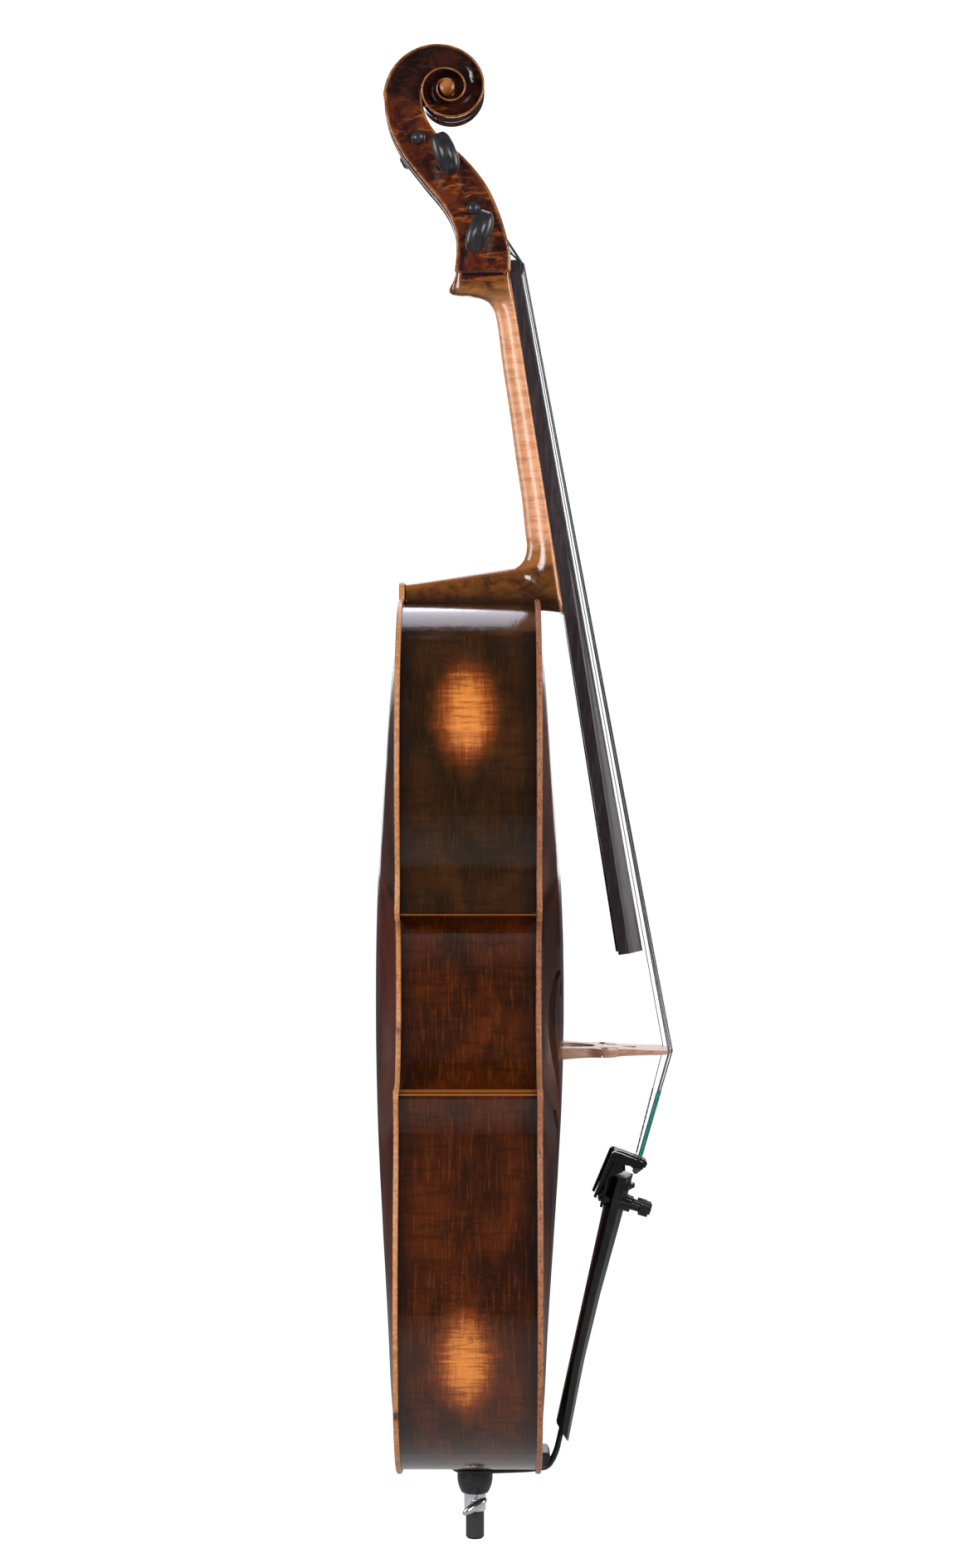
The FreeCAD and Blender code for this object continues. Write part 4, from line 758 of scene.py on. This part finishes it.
def peg_section(half, thick, flat):
    """Closed ring: round, or an oval with straight cut ends as flat rises to one."""
    ring = []
    for k in range(PEG_RING):
        angle = 2.0 * math.pi * k / PEG_RING
        c, s = math.cos(angle), math.sin(angle)
        across = half * math.copysign(abs(c) ** (1.0 - 0.25 * flat), c)
        limit = half * (1.0 - 0.07 * flat)
        ring.append((max(-limit, min(limit, across)), thick * s))
    return ring


def turn_peg(string):
    joint = JOINTS["peg_" + string + "_turn"]
    centre = Vector(joint["pos_m"])
    side = PEG_SIDE[string]
    tilt = math.radians(PEG_TILT[string])
    rows = [(x, r, r, 0.0) for x, r in PEG_ROUND]
    rows += [(x, a, b, min(1.0, max(0.0, (x - 40.0) / 8.0))) for x, a, b in PEG_HEAD]
    points = []
    for x, half, thick, flat in rows:
        for a, b in peg_section(half, thick, flat):
            y = (-math.sin(tilt) * a + math.cos(tilt) * b) / 1000.0
            z = (math.cos(tilt) * a + math.sin(tilt) * b) / 1000.0
            points.append((side * x / 1000.0, centre.y + y, centre.z + z))
    faces = grid_faces(len(rows), PEG_RING, 0, True)
    piece = mesh_piece("turned_peg_" + string, points, faces, "peg", "peg_" + string)
    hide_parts("peg_" + string)


# ---------------------------------------------------------------- studio
FLOOR_Z = -0.42      # below the endpin's tip when it is right out
ROOM_HALF = 9.0
ROOM_GLOW = 1.1
TABLE_Z = 0.002
TABLE_HALF = 3.2
BODY_MIDDLE = (0.0, -0.02, 0.62)
CAMERA_PLACE = (-2.8, -0.013, 0.6538)
CAMERA_LENS = 74.1


def softbox(name, location, target, size, watts, tint=(1.0, 1.0, 1.0)):
    lamp = bpy.data.lights.new(name, "AREA")
    lamp.shape = "RECTANGLE"
    lamp.size = size[0]
    lamp.size_y = size[1]
    lamp.energy = watts
    lamp.color = tint
    light = bpy.data.objects.new(name, lamp)
    light.location = location
    light.rotation_euler = (Vector(target) - Vector(location)).to_track_quat("-Z", "Y").to_euler()
    bpy.context.collection.objects.link(light)


def stage_mesh(name, corners, faces, strength, for_camera):
    """Glowing surface: either the white room that the camera sees, or what the varnish reflects."""
    mesh = bpy.data.meshes.new(name)
    mesh.from_pydata(corners, [], faces)
    stage = bpy.data.objects.new(name, mesh)
    bpy.context.collection.objects.link(stage)
    look = Look(name)
    look.feed(look.shader.inputs["Emission Strength"], strength(look))
    stage.data.materials.append(look.finish((0.04, 0.04, 0.04), 1.0, Emission_Color=(1.0, 1.0, 1.0, 1.0)))
    stage.visible_camera = for_camera
    stage.visible_glossy = not for_camera
    stage.visible_diffuse = not for_camera
    stage.visible_shadow = False


def white_room():
    """Walls, ceiling and floor seen by the camera alone, wide enough to hold it at any angle."""
    corners = [(x * ROOM_HALF, y * ROOM_HALF, z) for z in (FLOOR_Z, ROOM_HALF)
               for x, y in ((-1, -1), (1, -1), (1, 1), (-1, 1))]
    walls = [(i, (i + 1) % 4, (i + 1) % 4 + 4, i + 4) for i in range(4)]
    stage_mesh("white_walls", corners, walls + [(4, 5, 6, 7)], lambda look: ROOM_GLOW, True)
    stage_mesh("pale_floor", corners[:4], [(0, 1, 2, 3)], lambda look: ROOM_GLOW, True)


def table_glow(look):
    """The lit ground round the cello's foot, as the varnish reflects it."""
    away = look.calc("SQRT", look.calc("ADD", look.calc("MULTIPLY", look.x, look.x),
                                       look.calc("MULTIPLY", look.y, look.y)))
    return look.calc("MULTIPLY", look.ease(away, 1.7, 0.15), 0.42)


def studio():
    white_room()
    table = [(-TABLE_HALF, -TABLE_HALF, TABLE_Z), (TABLE_HALF, -TABLE_HALF, TABLE_Z),
             (TABLE_HALF, TABLE_HALF, TABLE_Z), (-TABLE_HALF, TABLE_HALF, TABLE_Z)]
    stage_mesh("table", table, [(0, 1, 2, 3)], table_glow, False)
    softbox("back_top", (1.9, -0.05, 2.7), (-0.1, 0.0, 0.75), (1.6, 1.6), 21.0, (0.88, 0.84, 0.96))
    softbox("behind", (2.5, 0.0, 1.45), (0.0, 0.0, 1.2), (1.6, 1.9), 20.0)
    softbox("key_left", (-2.5, 1.9, 1.15), BODY_MIDDLE, (0.9, 1.4), 52.0)
    softbox("key_right", (-2.5, -1.9, 1.45), BODY_MIDDLE, (0.9, 1.4), 52.0)
    softbox("front", (0.9, -3.0, 1.5), BODY_MIDDLE, (1.2, 1.6), 40.0)
    softbox("rear", (0.9, 3.0, 1.5), BODY_MIDDLE, (1.2, 1.6), 34.0)
    world = bpy.data.worlds.new("studio")
    world.use_nodes = True
    world.node_tree.nodes["Background"].inputs["Color"].default_value = (0.80, 0.82, 0.86, 1.0)
    world.node_tree.nodes["Background"].inputs["Strength"].default_value = 0.10
    bpy.context.scene.world = world
    bpy.context.scene.view_settings.view_transform = "Standard"


def camera():
    data = bpy.data.cameras.new("camera")
    data.sensor_width = 36.0
    data.lens = CAMERA_LENS
    data.clip_end = 30.0
    view = bpy.data.objects.new("camera", data)
    view.location = CAMERA_PLACE
    view.rotation_euler = (math.radians(90.0), 0.0, math.radians(-90.0))
    bpy.context.collection.objects.link(view)
    bpy.context.scene.camera = view


dress_frame()
carve_neck()
for string in STRINGS:
    turn_peg(string)
studio()
camera()
